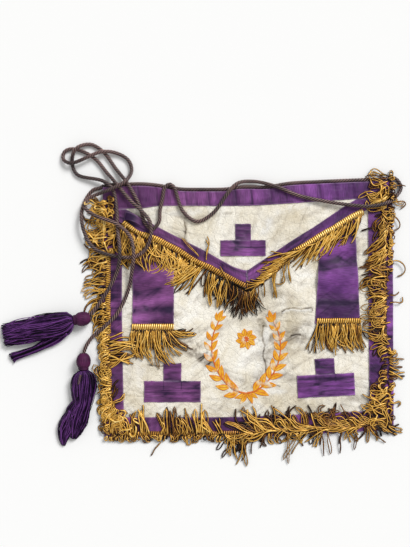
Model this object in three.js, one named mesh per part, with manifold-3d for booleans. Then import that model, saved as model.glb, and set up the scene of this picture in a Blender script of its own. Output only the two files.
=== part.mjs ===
// A ceremonial apron of pale leather, lying flat, face up.
// Purple ribbon binds its edges and the flap, gold looped fringe hangs from the ribbon, and a twisted cord
// runs along the top edge and ends in two tassels. Millimetres, +Z up, the surface it lies on at z = 0.
// Plan positions are measured from the middle of the leather body, +Y towards the top edge.

import * as THREE from "three";
import { mergeVertices } from "three/addons/utils/BufferGeometryUtils.js";
import Module from "manifold-3d";

const wasm = await Module();
wasm.setup();

// Gap kept between pieces that touch on the real apron
const GAP = 0.3;

// Thickness of the leather and of the doubled ribbon
const BODY_LEATHER = 1.5;
const FLAP_LEATHER = 1.2;
const RIBBON = 1.0;

// Heights of the layers, from the surface up: body, borders and tabs, flap, flap ribbons and top band
const LOWER_RIBBON_Z = BODY_LEATHER + GAP;
const FLAP_Z = LOWER_RIBBON_Z + RIBBON + GAP;
const UPPER_RIBBON_Z = FLAP_Z + FLAP_LEATHER + GAP;
const LOWER_SEAT = LOWER_RIBBON_Z + RIBBON;
const UPPER_SEAT = UPPER_RIBBON_Z + RIBBON;

// Ribbon that folds over an edge: its turned-down lip, and the step from lip to top
const LIP = 1.0;
const LIP_STEP = 0.05;
const INSIDE_LIP = LIP + LIP_STEP + 2 * GAP;

// Ribbon widths
const LEFT_BORDER = 28;
const RIGHT_BORDER = 34;
const BOTTOM_BORDER = 28;

// The cord and its seat beyond the top edge
const CORD_RADIUS = 2.5;
const CORD_SIDES = 8;
const EDGE_CORD_Z = CORD_RADIUS + GAP;
const EDGE_CORD_OUT = CORD_RADIUS + GAP + 0.2;

// Where the body's corners lie: the side edges' far ends, and the height of the two lower corners
const BODY_HALF_WIDTH = 201;
const LEFT_CORNER_Y = -179;
const RIGHT_CORNER_Y = -169.5;
const SIDE_HEAD_Y = 170;

const leather = { color: 0xd7d2c3, roughness: 0.75, metalness: 0.0 };
const ribbon = { color: 0x623c82, roughness: 0.6, metalness: 0.0 };
const fringeThread = { color: 0xc8a03c, roughness: 0.45, metalness: 0.3 };
const cordThread = { color: 0x6e5555, roughness: 0.6, metalness: 0.0 };
const tasselThread = { color: 0x461e64, roughness: 0.7, metalness: 0.0 };

// Edges of the body, as sewn
const TOP_EDGE = [
  { x: -202, y: 170 },
  { x: -166, y: 171.5 },
  { x: -141, y: 171.5 },
  { x: -110, y: 167.5 },
  { x: -93, y: 164.5 },
  { x: -62, y: 164 },
  { x: -30, y: 164.5 },
  { x: -10, y: 167.5 },
  { x: 27, y: 167.5 },
  { x: 58, y: 172.5 },
  { x: 103, y: 175 },
  { x: 149, y: 177 },
  { x: 202, y: 179 },
];
const BOTTOM_EDGE = [
  { x: -200, y: -179 },
  { x: -10, y: -178.5 },
  { x: 156, y: -171 },
  { x: 204, y: -169.5 },
];
const LEFT_EDGE = [
  { y: -180, x: -200 },
  { y: 0, x: -203.5 },
  { y: 170, x: -202 },
];
const RIGHT_EDGE = [
  { y: -170, x: 204 },
  { y: 40, x: 203 },
  { y: 179, x: 202 },
];

// Lower edge of the top band, and the flap's two sloping edges
const BAND_LOWER = [
  { x: -202, y: 139 },
  { x: -146, y: 141 },
  { x: -123, y: 143.8 },
  { x: 0, y: 144.2 },
  { x: 60, y: 147.5 },
  { x: 149, y: 153.4 },
  { x: 202, y: 155.5 },
];
const FLAP_TIP_X = -1;
const FLAP_LEFT = [
  { x: -202, y: 134 },
  { x: -170, y: 117 },
  { x: -158, y: 109 },
  { x: -129.5, y: 94.5 },
  { x: -101.5, y: 82 },
  { x: -70, y: 64.5 },
  { x: -41, y: 49.5 },
  { x: -1, y: 29.5 },
];
const FLAP_RIGHT = [
  { x: -1, y: 29.5 },
  { x: 9, y: 32.5 },
  { x: 24, y: 42 },
  { x: 38, y: 53 },
  { x: 52, y: 66 },
  { x: 66, y: 78 },
  { x: 96, y: 97.5 },
  { x: 122, y: 112 },
  { x: 143.5, y: 126 },
  { x: 165, y: 138 },
  { x: 180, y: 147 },
  { x: 202, y: 157 },
];
const FLAP_HALF_WIDTH = 200.5;
const FLAP_RIBBON_INNER = [
  { x: -202, y: 157 },
  { x: -160, y: 134 },
  { x: -123, y: 113.5 },
  { x: -83, y: 93 },
  { x: -65, y: 84 },
  { x: -31, y: 65 },
  { x: -17, y: 58 },
  { x: -1, y: 54.5 },
  { x: 9, y: 60.5 },
  { x: 35.5, y: 78 },
  { x: 63, y: 96.5 },
  { x: 95, y: 116.5 },
  { x: 130.5, y: 140.5 },
  { x: 145.5, y: 150 },
  { x: 180, y: 168 },
];
const FLAP_RIBBON_RIGHT_END = 180;

// Broad shallow swells of the leather that lift every layer over them: centre, reach along and across, rise
const SWELLS = [
  { x: 85, y: 0, turn: 4, along: 110, across: 52, rise: 2.2 },
  { x: -95, y: -55, turn: 80, along: 95, across: 55, rise: 1.8 },
  { x: 30, y: 122, turn: 0, along: 130, across: 60, rise: 1.1 },
  { x: 120, y: -115, turn: 10, along: 90, across: 60, rise: 1.5 },
];

// Ribbon ornaments, each an upright standing on a bar
const ORNAMENTS = [
  { name: "flap", x: -6.5, y: 96, turn: 0, upright: [22, 23], bar: [63, 22], z: UPPER_RIBBON_Z },
  { name: "left", x: -105, y: -100.5, turn: 0, upright: [25, 25], bar: [79, 29.5], z: LOWER_RIBBON_Z },
  { name: "right", x: 108.5, y: -91, turn: 3, upright: [27, 22], bar: [80, 31], z: LOWER_RIBBON_Z },
];

// Tabs: left and right side at the top, under the flap, and at the lower end
const TABS = [
  { name: "left", top: [[-160, 124], [-103, 98]], low: [[-161, -29], [-103, -29]] },
  { name: "right", top: [[102, 115], [149, 144]], low: [[94, -20], [157, -20]] },
];

// Fringes: a row for each station along the seam, with the seam-side limit, the far limit and the seat
// height. The left and right fringe run along y and reach across x, the others along x and across y.
const FRINGE_LEFT = [
  { at: 158, inner: -195, outer: -209, seat: UPPER_SEAT },
  { at: 150, inner: -193, outer: -213, seat: UPPER_SEAT },
  { at: 141, inner: -190, outer: -219, seat: UPPER_SEAT },
  { at: 128, inner: -189, outer: -226, seat: UPPER_SEAT },
  { at: 112, inner: -186, outer: -231, seat: LOWER_SEAT },
  { at: 92, inner: -182, outer: -232, seat: LOWER_SEAT },
  { at: 70, inner: -184, outer: -229, seat: LOWER_SEAT },
  { at: 45, inner: -190, outer: -227, seat: LOWER_SEAT },
  { at: 14, inner: -190, outer: -228, seat: LOWER_SEAT },
  { at: 3, inner: -190, outer: -216, seat: LOWER_SEAT },
  { at: -27, inner: -189, outer: -215, seat: LOWER_SEAT },
  { at: -40, inner: -186, outer: -213, seat: LOWER_SEAT },
  { at: -52, inner: -179, outer: -211, seat: LOWER_SEAT },
  { at: -66, inner: -165, outer: -211, seat: LOWER_SEAT },
  { at: -83, inner: -170, outer: -211, seat: LOWER_SEAT },
  { at: -99, inner: -184, outer: -208, seat: LOWER_SEAT },
  { at: -127, inner: -185, outer: -212, seat: LOWER_SEAT },
  { at: -143, inner: -186, outer: -209, seat: LOWER_SEAT },
];
const FRINGE_RIGHT = [
  { at: 195, inner: 174, outer: 196, seat: UPPER_SEAT },
  { at: 184, inner: 167, outer: 201, seat: UPPER_SEAT },
  { at: 167, inner: 163, outer: 202, seat: UPPER_SEAT },
  { at: 154, inner: 162, outer: 201, seat: UPPER_SEAT },
  { at: 140, inner: 163, outer: 207, seat: UPPER_SEAT },
  { at: 126, inner: 163, outer: 213, seat: LOWER_SEAT },
  { at: 106, inner: 163, outer: 212, seat: LOWER_SEAT },
  { at: 88, inner: 166, outer: 206, seat: LOWER_SEAT },
  { at: 55, inner: 163, outer: 204, seat: LOWER_SEAT },
  { at: 27, inner: 162, outer: 200, seat: LOWER_SEAT },
  { at: -2, inner: 160, outer: 198, seat: LOWER_SEAT },
  { at: -43, inner: 160, outer: 198, seat: LOWER_SEAT },
  { at: -60, inner: 166, outer: 199, seat: LOWER_SEAT },
  { at: -80, inner: 171, outer: 200, seat: LOWER_SEAT },
  { at: -120, inner: 169, outer: 199, seat: LOWER_SEAT },
  { at: -149, inner: 165, outer: 197, seat: LOWER_SEAT },
];
const FRINGE_BOTTOM = [
  { at: -196, inner: -156, outer: -186, seat: LOWER_SEAT },
  { at: -178, inner: -148, outer: -192, seat: LOWER_SEAT },
  { at: -150, inner: -143, outer: -187, seat: LOWER_SEAT },
  { at: -122, inner: -141, outer: -186, seat: LOWER_SEAT },
  { at: -94, inner: -140, outer: -185, seat: LOWER_SEAT },
  { at: -73, inner: -139, outer: -186, seat: LOWER_SEAT },
  { at: -45, inner: -147, outer: -189, seat: LOWER_SEAT },
  { at: -24, inner: -153, outer: -211, seat: LOWER_SEAT },
  { at: -4, inner: -150, outer: -210, seat: LOWER_SEAT },
  { at: 10, inner: -148, outer: -188, seat: LOWER_SEAT },
  { at: 31, inner: -139, outer: -186, seat: LOWER_SEAT },
  { at: 52, inner: -140, outer: -187, seat: LOWER_SEAT },
  { at: 74, inner: -149, outer: -185, seat: LOWER_SEAT },
  { at: 95, inner: -147, outer: -192, seat: LOWER_SEAT },
  { at: 122, inner: -146, outer: -193, seat: LOWER_SEAT },
  { at: 150, inner: -149, outer: -195, seat: LOWER_SEAT },
  { at: 175, inner: -157, outer: -192, seat: LOWER_SEAT },
  { at: 200, inner: -160, outer: -190, seat: LOWER_SEAT },
];
const FLAP_FRINGE_LEFT = [
  { at: -174, inner: 125, outer: 88, seat: UPPER_SEAT },
  { at: -158, inner: 115, outer: 60, seat: UPPER_SEAT },
  { at: -136, inner: 104, outer: 45, seat: UPPER_SEAT },
  { at: -110, inner: 92, outer: 41, seat: UPPER_SEAT },
  { at: -80, inner: 76, outer: 34, seat: UPPER_SEAT },
  { at: -55, inner: 63, outer: 20, seat: UPPER_SEAT },
  { at: -32, inner: 51, outer: 10, seat: UPPER_SEAT },
  { at: -18, inner: 44, outer: -8, seat: UPPER_SEAT },
  { at: -3, inner: 37, outer: -12, seat: UPPER_SEAT },
];
const FLAP_FRINGE_RIGHT = [
  { at: -2, inner: 37, outer: -12, seat: UPPER_SEAT },
  { at: 10, inner: 39, outer: -8, seat: UPPER_SEAT },
  { at: 22, inner: 47, outer: 4, seat: UPPER_SEAT },
  { at: 38, inner: 62, outer: 24, seat: UPPER_SEAT },
  { at: 54, inner: 77, outer: 46, seat: UPPER_SEAT },
  { at: 74, inner: 90, outer: 58, seat: UPPER_SEAT },
  { at: 100, inner: 106, outer: 70, seat: UPPER_SEAT },
  { at: 130, inner: 123, outer: 82, seat: UPPER_SEAT },
  { at: 150, inner: 135, outer: 94, seat: UPPER_SEAT },
  { at: 157, inner: 139, outer: 106, seat: UPPER_SEAT },
];
const TAB_FRINGE_LEFT = [
  { at: -162, inner: -20, outer: -68, seat: LOWER_SEAT },
  { at: -140, inner: -20, outer: -73, seat: LOWER_SEAT },
  { at: -115, inner: -20, outer: -72, seat: LOWER_SEAT },
  { at: -100, inner: -20, outer: -64, seat: LOWER_SEAT },
  { at: -88, inner: -26, outer: -48, seat: BODY_LEATHER },
];
const TAB_FRINGE_RIGHT = [
  { at: 90, inner: -22, outer: -52, seat: BODY_LEATHER },
  { at: 97, inner: -13, outer: -58, seat: LOWER_SEAT },
  { at: 115, inner: -13, outer: -60, seat: LOWER_SEAT },
  { at: 140, inner: -13, outer: -60, seat: LOWER_SEAT },
  { at: 157, inner: -13, outer: -56, seat: LOWER_SEAT },
];

// Routes of the cord's two free ends, from the corners of the top edge to inside their tassels
const CORD_RIGHT_ROUTE = [
  [198, 184.5, 2.9],
  [208, 181, 3.0],
  [214, 170, 3.2],
  [206, 157, 8.8],
  [195, 149, 11.4],
  [169, 143, 12.0],
  [74, 157, 8.9],
  [38, 171, 8.9],
  [6, 178, 5.6],
  [-16, 174, 8.9],
  [-49, 133, 8.8],
  [-71, 122, 7.4],
  [-90, 136, 8.3],
  [-98.5, 158, 8.7],
  [-102, 169, 8.8],
  [-109, 173.5, 8.9],
  [-115.5, 168.5, 8.8],
  [-118, 156, 8.7],
  [-122, 137, 8.2],
  [-123.5, 121, 8.5],
  [-133, 111.5, 8.8],
  [-143, 120.5, 8.6],
  [-151, 145, 8.7],
  [-166, 173, 8.8],
  [-184, 196, 2.9],
  [-202, 220, 2.9],
  [-220, 230, 2.9],
  [-239, 223, 8.3],
  [-245, 204, 2.9],
  [-238, 188, 2.9],
  [-201, 178, 8.2],
  [-188, 167, 8.9],
  [-182, 139, 9.6],
  [-181, 113, 10.0],
  [-177, 77, 16.5],
  [-183, 48, 9.9],
  [-220, -8, 9.4],
  [-234, -14, 9.4],
  [-254, -17, 9.4],
];
const CORD_LEFT_ROUTE = [
  [-206, 169, 2.9],
  [-216, 166, 2.9],
  [-228, 148, 4.0],
  [-231, 127, 9.6],
  [-225, 102, 9.8],
  [-211, 83, 9.8],
  [-163, 72, 11.4],
  [-144, 81, 11.4],
  [-134, 104, 13.8],
  [-136, 122, 14.6],
  [-147, 136, 14.6],
  [-162, 150, 11.4],
  [-184, 176, 8.9],
  [-197, 191, 3.4],
  [-212, 209, 2.9],
  [-230, 220, 2.9],
  [-247, 223.5, 2.9],
  [-256, 219, 3.0],
  [-257, 209, 4.4],
  [-246, 203, 8.4],
  [-202, 219, 8.4],
  [-181, 217, 3.6],
  [-166, 207, 2.9],
  [-162, 193, 4.2],
  [-170, 177, 14.3],
  [-188, 167, 14.4],
  [-222, 152.5, 10.0],
  [-226, 142, 12.8],
  [-212, 130, 11.6],
  [-181, 118, 15.6],
  [-164, 102, 12.0],
  [-158, 80, 17.4],
  [-161, 51, 11.0],
  [-167, 25, 4.7],
  [-181, -5, 6.2],
  [-201, -26, 9.8],
  [-218, -41, 9.6],
  [-227, -58, 9.4],
  [-228, -74, 9.4],
  [-228, -95, 9.4],
];

// Tassels: a wound head on the cord, and a skirt given by sections along its own centre line, with one
// lock of it lying apart; z is a section's own middle height where it doesn't rest on the surface
const HEAD_LENGTH = 23;
const HEAD_RADIUS = 10;
const HEAD_END_RADIUS = 5;
const HEAD_SHOULDER = { radius: 0.88 * HEAD_RADIUS, fromMiddle: 0.32 * HEAD_LENGTH };
const REST_Z = 0.1;
const BORE_POINTS = 4;
const SKIRT_START_Z = HEAD_RADIUS + REST_Z;
const UPPER_TASSEL = {
  name: "upper",
  head: [-230, -13.3],
  turn: 188.6,
  sections: [
    { x: -242.3, y: -15.4, wide: 7, high: 7, z: SKIRT_START_Z },
    { x: -247, y: -16.2, wide: 13.5, high: 8 },
    { x: -258, y: -20.5, wide: 18, high: 8.5 },
    { x: -275, y: -24, wide: 18.5, high: 8 },
    { x: -300, y: -28.5, wide: 17, high: 7 },
    { x: -322, y: -33, wide: 16, high: 6 },
    { x: -334, y: -35.5, wide: 15, high: 5 },
    { x: -343, y: -37, wide: 14, high: 4 },
  ],
  lock: [
    { x: -252, y: -31, wide: 5, high: 6 },
    { x: -268, y: -41, wide: 7.5, high: 5 },
    { x: -285, y: -50, wide: 6.5, high: 4 },
    { x: -300, y: -57, wide: 5.5, high: 3.5 },
    { x: -316, y: -63, wide: 5.5, high: 3 },
    { x: -326, y: -66, wide: 6, high: 2.5 },
    { x: -332, y: -69, wide: 7.5, high: 2.3 },
  ],
};
const LOWER_TASSEL = {
  name: "lower",
  head: [-228, -72.5],
  turn: 270,
  sections: [
    { x: -228, y: -84.8, wide: 7, high: 7, z: SKIRT_START_Z },
    { x: -227.5, y: -89, wide: 13.5, high: 8 },
    { x: -228, y: -100, wide: 17.5, high: 8.5 },
    { x: -229, y: -116, wide: 16.5, high: 8 },
    { x: -229.5, y: -130, wide: 14, high: 7.5 },
    { x: -236, y: -144, wide: 16, high: 7 },
    { x: -240, y: -158, wide: 15.5, high: 6 },
    { x: -241, y: -166, wide: 12.5, high: 5 },
    { x: -242, y: -174, wide: 8, high: 4 },
    { x: -243, y: -182, wide: 4, high: 3 },
  ],
  lock: [
    { x: -243, y: -142, wide: 8, high: 5 },
    { x: -249, y: -154, wide: 10.5, high: 5 },
    { x: -253, y: -166, wide: 11.5, high: 5 },
    { x: -256, y: -176, wide: 8.5, high: 4 },
    { x: -257, y: -184, wide: 5, high: 3 },
    { x: -257, y: -191, wide: 2.5, high: 2 },
  ],
};

const apron = new THREE.Group();

// Adds one named piece of the apron
function addPiece(name, geometry, finish) {
  const mesh = new THREE.Mesh(geometry, new THREE.MeshStandardMaterial(finish));
  mesh.name = name;
  apron.add(mesh);
}

// A smooth curve through a short table: the value of one column at a value of another
function readTable(table, from, to, at) {
  const last = table.length - 1;
  let i = 0;
  while (i < last - 1 && at > table[i + 1][from]) i += 1;
  const span = table[i + 1][from] - table[i][from];
  const t = THREE.MathUtils.clamp((at - table[i][from]) / span, 0, 1);
  const slope = (k) => {
    const a = table[Math.max(k - 1, 0)];
    const b = table[Math.min(k + 1, last)];
    return (b[to] - a[to]) / (b[from] - a[from]);
  };
  const start = table[i][to];
  const end = table[i + 1][to];
  const t2 = t * t;
  const t3 = t2 * t;
  const ease = 3 * t2 - 2 * t3;
  const leaving = slope(i) * span * (t3 - 2 * t2 + t);
  const arriving = slope(i + 1) * span * (t3 - t2);
  return start * (1 - ease) + end * ease + leaving + arriving;
}

const topEdge = (x) => readTable(TOP_EDGE, "x", "y", x);
const bottomEdge = (x) => readTable(BOTTOM_EDGE, "x", "y", x);
const leftEdge = (y) => readTable(LEFT_EDGE, "y", "x", y);
const rightEdge = (y) => readTable(RIGHT_EDGE, "y", "x", y);
const bandLower = (x) => readTable(BAND_LOWER, "x", "y", x);
const flapEdge = (x) => readTable(x < FLAP_TIP_X ? FLAP_LEFT : FLAP_RIGHT, "x", "y", x);

// How far the leather is lifted off the surface at a place: smooth mounds that end at nothing
function lift(x, y) {
  let height = 0;
  for (const swell of SWELLS) {
    const turn = THREE.MathUtils.degToRad(swell.turn);
    const dx = x - swell.x;
    const dy = y - swell.y;
    const along = (dx * Math.cos(turn) + dy * Math.sin(turn)) / swell.along;
    const across = (dy * Math.cos(turn) - dx * Math.sin(turn)) / swell.across;
    const fade = Math.max(0, 1 - along * along) * Math.max(0, 1 - across * across);
    height += swell.rise * fade * fade;
  }
  return height;
}

function indexed(positions, index) {
  const geometry = new THREE.BufferGeometry();
  geometry.setAttribute("position", new THREE.Float32BufferAttribute(positions, 3));
  geometry.setIndex(index);
  geometry.computeVertexNormals();
  return geometry;
}

// A closed solid over a grid of stations [i][j] = { x, y, low, high }
function gridSolid(grid) {
  const rows = grid.length;
  const columns = grid[0].length;
  const positions = [];
  const stations = grid.flat();
  stations.forEach((p) => positions.push(p.x, p.y, p.high));
  stations.forEach((p) => positions.push(p.x, p.y, p.low));
  const top = (i, j) => i * columns + j;
  const under = (i, j) => rows * columns + i * columns + j;
  const faces = [];
  const quad = (a, b, c, d) => faces.push([a, b, c], [a, c, d]);
  for (let i = 0; i < rows - 1; i += 1) {
    for (let j = 0; j < columns - 1; j += 1) {
      quad(top(i, j), top(i + 1, j), top(i + 1, j + 1), top(i, j + 1));
      quad(under(i, j), under(i, j + 1), under(i + 1, j + 1), under(i + 1, j));
    }
    quad(under(i, 0), under(i + 1, 0), top(i + 1, 0), top(i, 0));
    const far = columns - 1;
    quad(under(i + 1, far), under(i, far), top(i, far), top(i + 1, far));
  }
  for (let j = 0; j < columns - 1; j += 1) {
    quad(under(0, j + 1), under(0, j), top(0, j), top(0, j + 1));
    quad(under(rows - 1, j), under(rows - 1, j + 1), top(rows - 1, j + 1), top(rows - 1, j));
  }
  const [a, b, c] = [grid[0][0], grid[1][0], grid[1][1]];
  const turnsLeft = (b.x - a.x) * (c.y - a.y) - (c.x - a.x) * (b.y - a.y) > 0;
  return indexed(positions, faces.flatMap((f) => (turnsLeft ? f : [f[0], f[2], f[1]])));
}

// Stations between two edges: rows at the given places, columns at distances (mm) or shares across
function stationsBetween(places, edgeA, edgeB, columns) {
  return places.map((place) => {
    const a = new THREE.Vector2(...edgeA(place));
    const b = new THREE.Vector2(...edgeB(place));
    const across = b.clone().sub(a);
    const width = across.length();
    return columns.map((column) => {
      const share = column.mm === undefined ? column.share : column.mm / width;
      const p = a.clone().addScaledVector(across, share);
      return { x: p.x, y: p.y };
    });
  });
}

// The same stations with every side moved outwards
function grown(stations, by) {
  const out = stations.map((row) => row.map((p) => new THREE.Vector2(p.x, p.y)));
  const push = (row, col, nextRow, nextCol) => {
    const from = new THREE.Vector2(stations[nextRow][nextCol].x, stations[nextRow][nextCol].y);
    const at = new THREE.Vector2(stations[row][col].x, stations[row][col].y);
    out[row][col].addScaledVector(at.sub(from).normalize(), by);
  };
  const lastRow = stations.length - 1;
  const lastCol = stations[0].length - 1;
  for (let j = 0; j <= lastCol; j += 1) {
    push(0, j, 1, j);
    push(lastRow, j, lastRow - 1, j);
  }
  for (let i = 0; i <= lastRow; i += 1) {
    push(i, 0, i, 1);
    push(i, lastCol, i, lastCol - 1);
  }
  return out.map((row) => row.map((p) => ({ x: p.x, y: p.y })));
}

// A sheet on its layer: its underside at each column's height, lifted by the swells below it
function sheet(stations, lows, top) {
  return gridSolid(
    stations.map((row) =>
      row.map((p, j) => {
        const raised = lift(p.x, p.y);
        return { ...p, low: lows[j] + raised, high: top + raised };
      }),
    ),
  );
}

function toSolid(geometry) {
  const plain = geometry.clone();
  plain.deleteAttribute("normal");
  plain.deleteAttribute("uv");
  const merged = mergeVertices(plain);
  return new wasm.Manifold(
    new wasm.Mesh({
      numProp: 3,
      vertProperties: new Float32Array(merged.attributes.position.array),
      triVerts: new Uint32Array(merged.index.array),
    }),
  );
}

function toGeometry(solid) {
  const mesh = solid.getMesh();
  const geometry = new THREE.BufferGeometry();
  geometry.setAttribute("position", new THREE.BufferAttribute(mesh.vertProperties, 3));
  geometry.setIndex(new THREE.BufferAttribute(mesh.triVerts, 1));
  geometry.computeVertexNormals();
  return geometry;
}

// Room that fringe leaves for the sheets below it: each grown by the gap, from under the surface up
const CLEARANCE_FLOOR = -5;
const clearances = [];
function addSheet(name, stations, lows, top, finish) {
  addPiece(name, sheet(stations, lows, top), finish);
  const room = grown(stations, GAP);
  clearances.push(toSolid(sheet(room, lows.map(() => CLEARANCE_FLOOR), top + GAP)));
}

function evenly(from, to, steps) {
  return Array.from({ length: steps + 1 }, (_, i) => from + ((to - from) * i) / steps);
}
const lipColumns = (inner) => [{ mm: 0 }, { mm: LIP }, { mm: LIP + LIP_STEP }, ...inner];
const lipLows = (low, inner) => [0, 0, low, ...inner.map(() => low)];

// Body and flap leather, both ending inside the ribbon's lips
function addLeather() {
  const bodyStations = stationsBetween(
    evenly(-BODY_HALF_WIDTH, BODY_HALF_WIDTH, 17),
    (x) => [x, bottomEdge(x) + INSIDE_LIP],
    (x) => [x, topEdge(x) - INSIDE_LIP],
    evenly(0, 1, 12).map((share) => ({ share })),
  );
  for (const row of bodyStations) {
    for (const p of row) {
      const left = leftEdge(p.y) + INSIDE_LIP;
      const right = rightEdge(p.y) - INSIDE_LIP;
      p.x = left + (0.5 + p.x / (2 * BODY_HALF_WIDTH)) * (right - left);
    }
  }
  const bodyColumns = bodyStations[0].length;
  addSheet("apron_panel", bodyStations, Array(bodyColumns).fill(0), BODY_LEATHER, leather);

  const flapStations = stationsBetween(
    [...evenly(-FLAP_HALF_WIDTH, FLAP_TIP_X, 10), ...evenly(FLAP_TIP_X, FLAP_HALF_WIDTH, 10).slice(1)],
    (x) => [x, flapEdge(x) + GAP],
    (x) => [x, topEdge(x) - INSIDE_LIP],
    evenly(0, 1, 5).map((share) => ({ share })),
  );
  addSheet("flap_panel", flapStations, Array(6).fill(FLAP_Z), FLAP_Z + FLAP_LEATHER, leather);
}

// Ribbon over the four edges; the side borders run up under the band and meet the bottom border in mitres
function addBorders() {
  const plain = [{ share: 0.5 }, { share: 1 }];
  const bandStations = stationsBetween(
    evenly(TOP_EDGE[0].x, TOP_EDGE.at(-1).x, 24),
    (x) => [x, topEdge(x)],
    (x) => [x, bandLower(x)],
    lipColumns(plain),
  );
  addSheet("top_band", bandStations, lipLows(UPPER_RIBBON_Z, plain), UPPER_SEAT, ribbon);

  const sides = [
    { name: "border_left", edge: leftEdge, width: LEFT_BORDER, inward: 1, cornerY: LEFT_CORNER_Y },
    { name: "border_right", edge: rightEdge, width: RIGHT_BORDER, inward: -1, cornerY: RIGHT_CORNER_Y },
  ];
  for (const side of sides) {
    const cornerX = side.edge(side.cornerY);
    const low = bottomEdge(cornerX) + GAP;
    const mitreRise = BOTTOM_BORDER / side.width;
    const stations = evenly(0, 1, 14).map((t) =>
      [0, LIP, LIP + LIP_STEP, side.width / 2, side.width].map((mm) => {
        const foot = low + mm * mitreRise;
        const head = topEdge(side.edge(SIDE_HEAD_Y) + side.inward * mm) - INSIDE_LIP;
        const y = foot + (head - foot) * t;
        return { x: side.edge(y) + side.inward * mm, y };
      }),
    );
    addSheet(side.name, stations, lipLows(LOWER_RIBBON_Z, plain), LOWER_SEAT, ribbon);
  }

  const bottomStations = evenly(0, 1, 16).map((t) =>
    [0, LIP, LIP + LIP_STEP, BOTTOM_BORDER / 2, BOTTOM_BORDER].map((mm) => {
      const start = leftEdge(LEFT_CORNER_Y) + 3 * GAP + (mm * LEFT_BORDER) / BOTTOM_BORDER;
      const end = rightEdge(RIGHT_CORNER_Y) - 3 * GAP - (mm * RIGHT_BORDER) / BOTTOM_BORDER;
      const x = start + (end - start) * t;
      return { x, y: bottomEdge(x) + mm };
    }),
  );
  addSheet("border_bottom", bottomStations, lipLows(LOWER_RIBBON_Z, plain), LOWER_SEAT, ribbon);
}

// Ribbon along the flap's sloping edges, cut off under the top band and mitred at the tip
function addFlapRibbons() {
  const inner = (x) => Math.min(readTable(FLAP_RIBBON_INNER, "x", "y", x), bandLower(x) - 2 * GAP);
  const arms = [
    { name: "flap_ribbon_left", from: -BODY_HALF_WIDTH, to: FLAP_TIP_X - GAP },
    { name: "flap_ribbon_right", from: FLAP_TIP_X + GAP, to: FLAP_RIBBON_RIGHT_END },
  ];
  for (const arm of arms) {
    const stations = stationsBetween(
      evenly(arm.from, arm.to, 12),
      (x) => [x, flapEdge(x)],
      (x) => [x, inner(x)],
      [{ share: 0 }, { share: 0.5 }, { share: 1 }],
    );
    addSheet(arm.name, stations, Array(3).fill(UPPER_RIBBON_Z), UPPER_SEAT, ribbon);
  }
}

// A flat rectangle of ribbon on its layer, turned about the ornament's middle
function addPlate(name, ornament, width, from, to) {
  const turn = THREE.MathUtils.degToRad(ornament.turn);
  const steps = Math.ceil(width / 16);
  const stations = evenly(-width / 2, width / 2, steps).map((along) =>
    evenly(from, to, 2).map((up) => ({
      x: ornament.x + along * Math.cos(turn) - up * Math.sin(turn),
      y: ornament.y + along * Math.sin(turn) + up * Math.cos(turn),
    })),
  );
  addSheet(name, stations, Array(3).fill(ornament.z), ornament.z + RIBBON, ribbon);
}

function addOrnaments() {
  for (const ornament of ORNAMENTS) {
    const [uprightWidth, uprightHeight] = ornament.upright;
    const [barWidth, barHeight] = ornament.bar;
    addPlate(`${ornament.name}_ornament_upright`, ornament, uprightWidth, GAP, uprightHeight);
    addPlate(`${ornament.name}_ornament_bar`, ornament, barWidth, -barHeight, 0);
  }
}

function addTabs() {
  for (const tab of TABS) {
    const mix = (a, b, t) => [a[0] + (b[0] - a[0]) * t, a[1] + (b[1] - a[1]) * t];
    const stations = stationsBetween(
      evenly(0, 1, 10),
      (t) => mix(tab.low[0], tab.top[0], t),
      (t) => mix(tab.low[1], tab.top[1], t),
      evenly(0, 1, 4).map((share) => ({ share })),
    );
    addSheet(`tab_${tab.name}`, stations, Array(5).fill(LOWER_RIBBON_Z), LOWER_SEAT, ribbon);
  }
}

// A tube along a route, with one step for each of the route's points or a given number of even steps
class PointwiseCurve extends THREE.CatmullRomCurve3 {
  getUtoTmapping(u) {
    return u;
  }
}

function tube(route, radius, steps) {
  const points = route.map((p) => new THREE.Vector3(...p));
  const section = new THREE.Shape();
  for (let k = 0; k < CORD_SIDES; k += 1) {
    const angle = (2 * Math.PI * k) / CORD_SIDES;
    const x = radius * Math.cos(angle);
    const y = radius * Math.sin(angle);
    if (k === 0) section.moveTo(x, y);
    else section.lineTo(x, y);
  }
  section.closePath();
  return new THREE.ExtrudeGeometry(section, {
    steps,
    extrudePath: new PointwiseCurve(points),
    curveSegments: 1,
  });
}

// The cord's sewn stretch, just beyond the band's fold, and the room that fringe leaves over it
const EDGE_CORD_STEPS = 20;
const EDGE_CORD_ENDS = [-200, 194];
function addEdgeCord() {
  const [from, to] = EDGE_CORD_ENDS;
  const route = evenly(from, to, EDGE_CORD_STEPS).map((x) => {
    const y = topEdge(x);
    return [x, y + EDGE_CORD_OUT, EDGE_CORD_Z + lift(x, y)];
  });
  addPiece("cord_edge", tube(route, CORD_RADIUS, EDGE_CORD_STEPS), cordThread);
  clearances.push(cordRoom(route));
}

// A slot under the fringe along a stretch of cord, from below the surface to just over the cord
const SLOT_OVERRUN = 3;
function cordRoom(route) {
  const half = CORD_RADIUS + GAP;
  const points = route.map((p) => new THREE.Vector3(...p));
  const beyond = (end, next) => end.clone().add(end.clone().sub(next).setLength(SLOT_OVERRUN));
  const slot = [beyond(points[0], points[1]), ...points, beyond(points.at(-1), points.at(-2))];
  return toSolid(
    gridSolid(
      slot.map((p, i) => {
        const a = slot[Math.max(i - 1, 0)];
        const b = slot[Math.min(i + 1, slot.length - 1)];
        const side = new THREE.Vector2(a.y - b.y, b.x - a.x).setLength(half);
        const high = p.z + CORD_RADIUS + GAP;
        return [
          { x: p.x - side.x, y: p.y - side.y, low: CLEARANCE_FLOOR, high },
          { x: p.x + side.x, y: p.y + side.y, low: CLEARANCE_FLOOR, high },
        ];
      }),
    ),
  );
}

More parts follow.
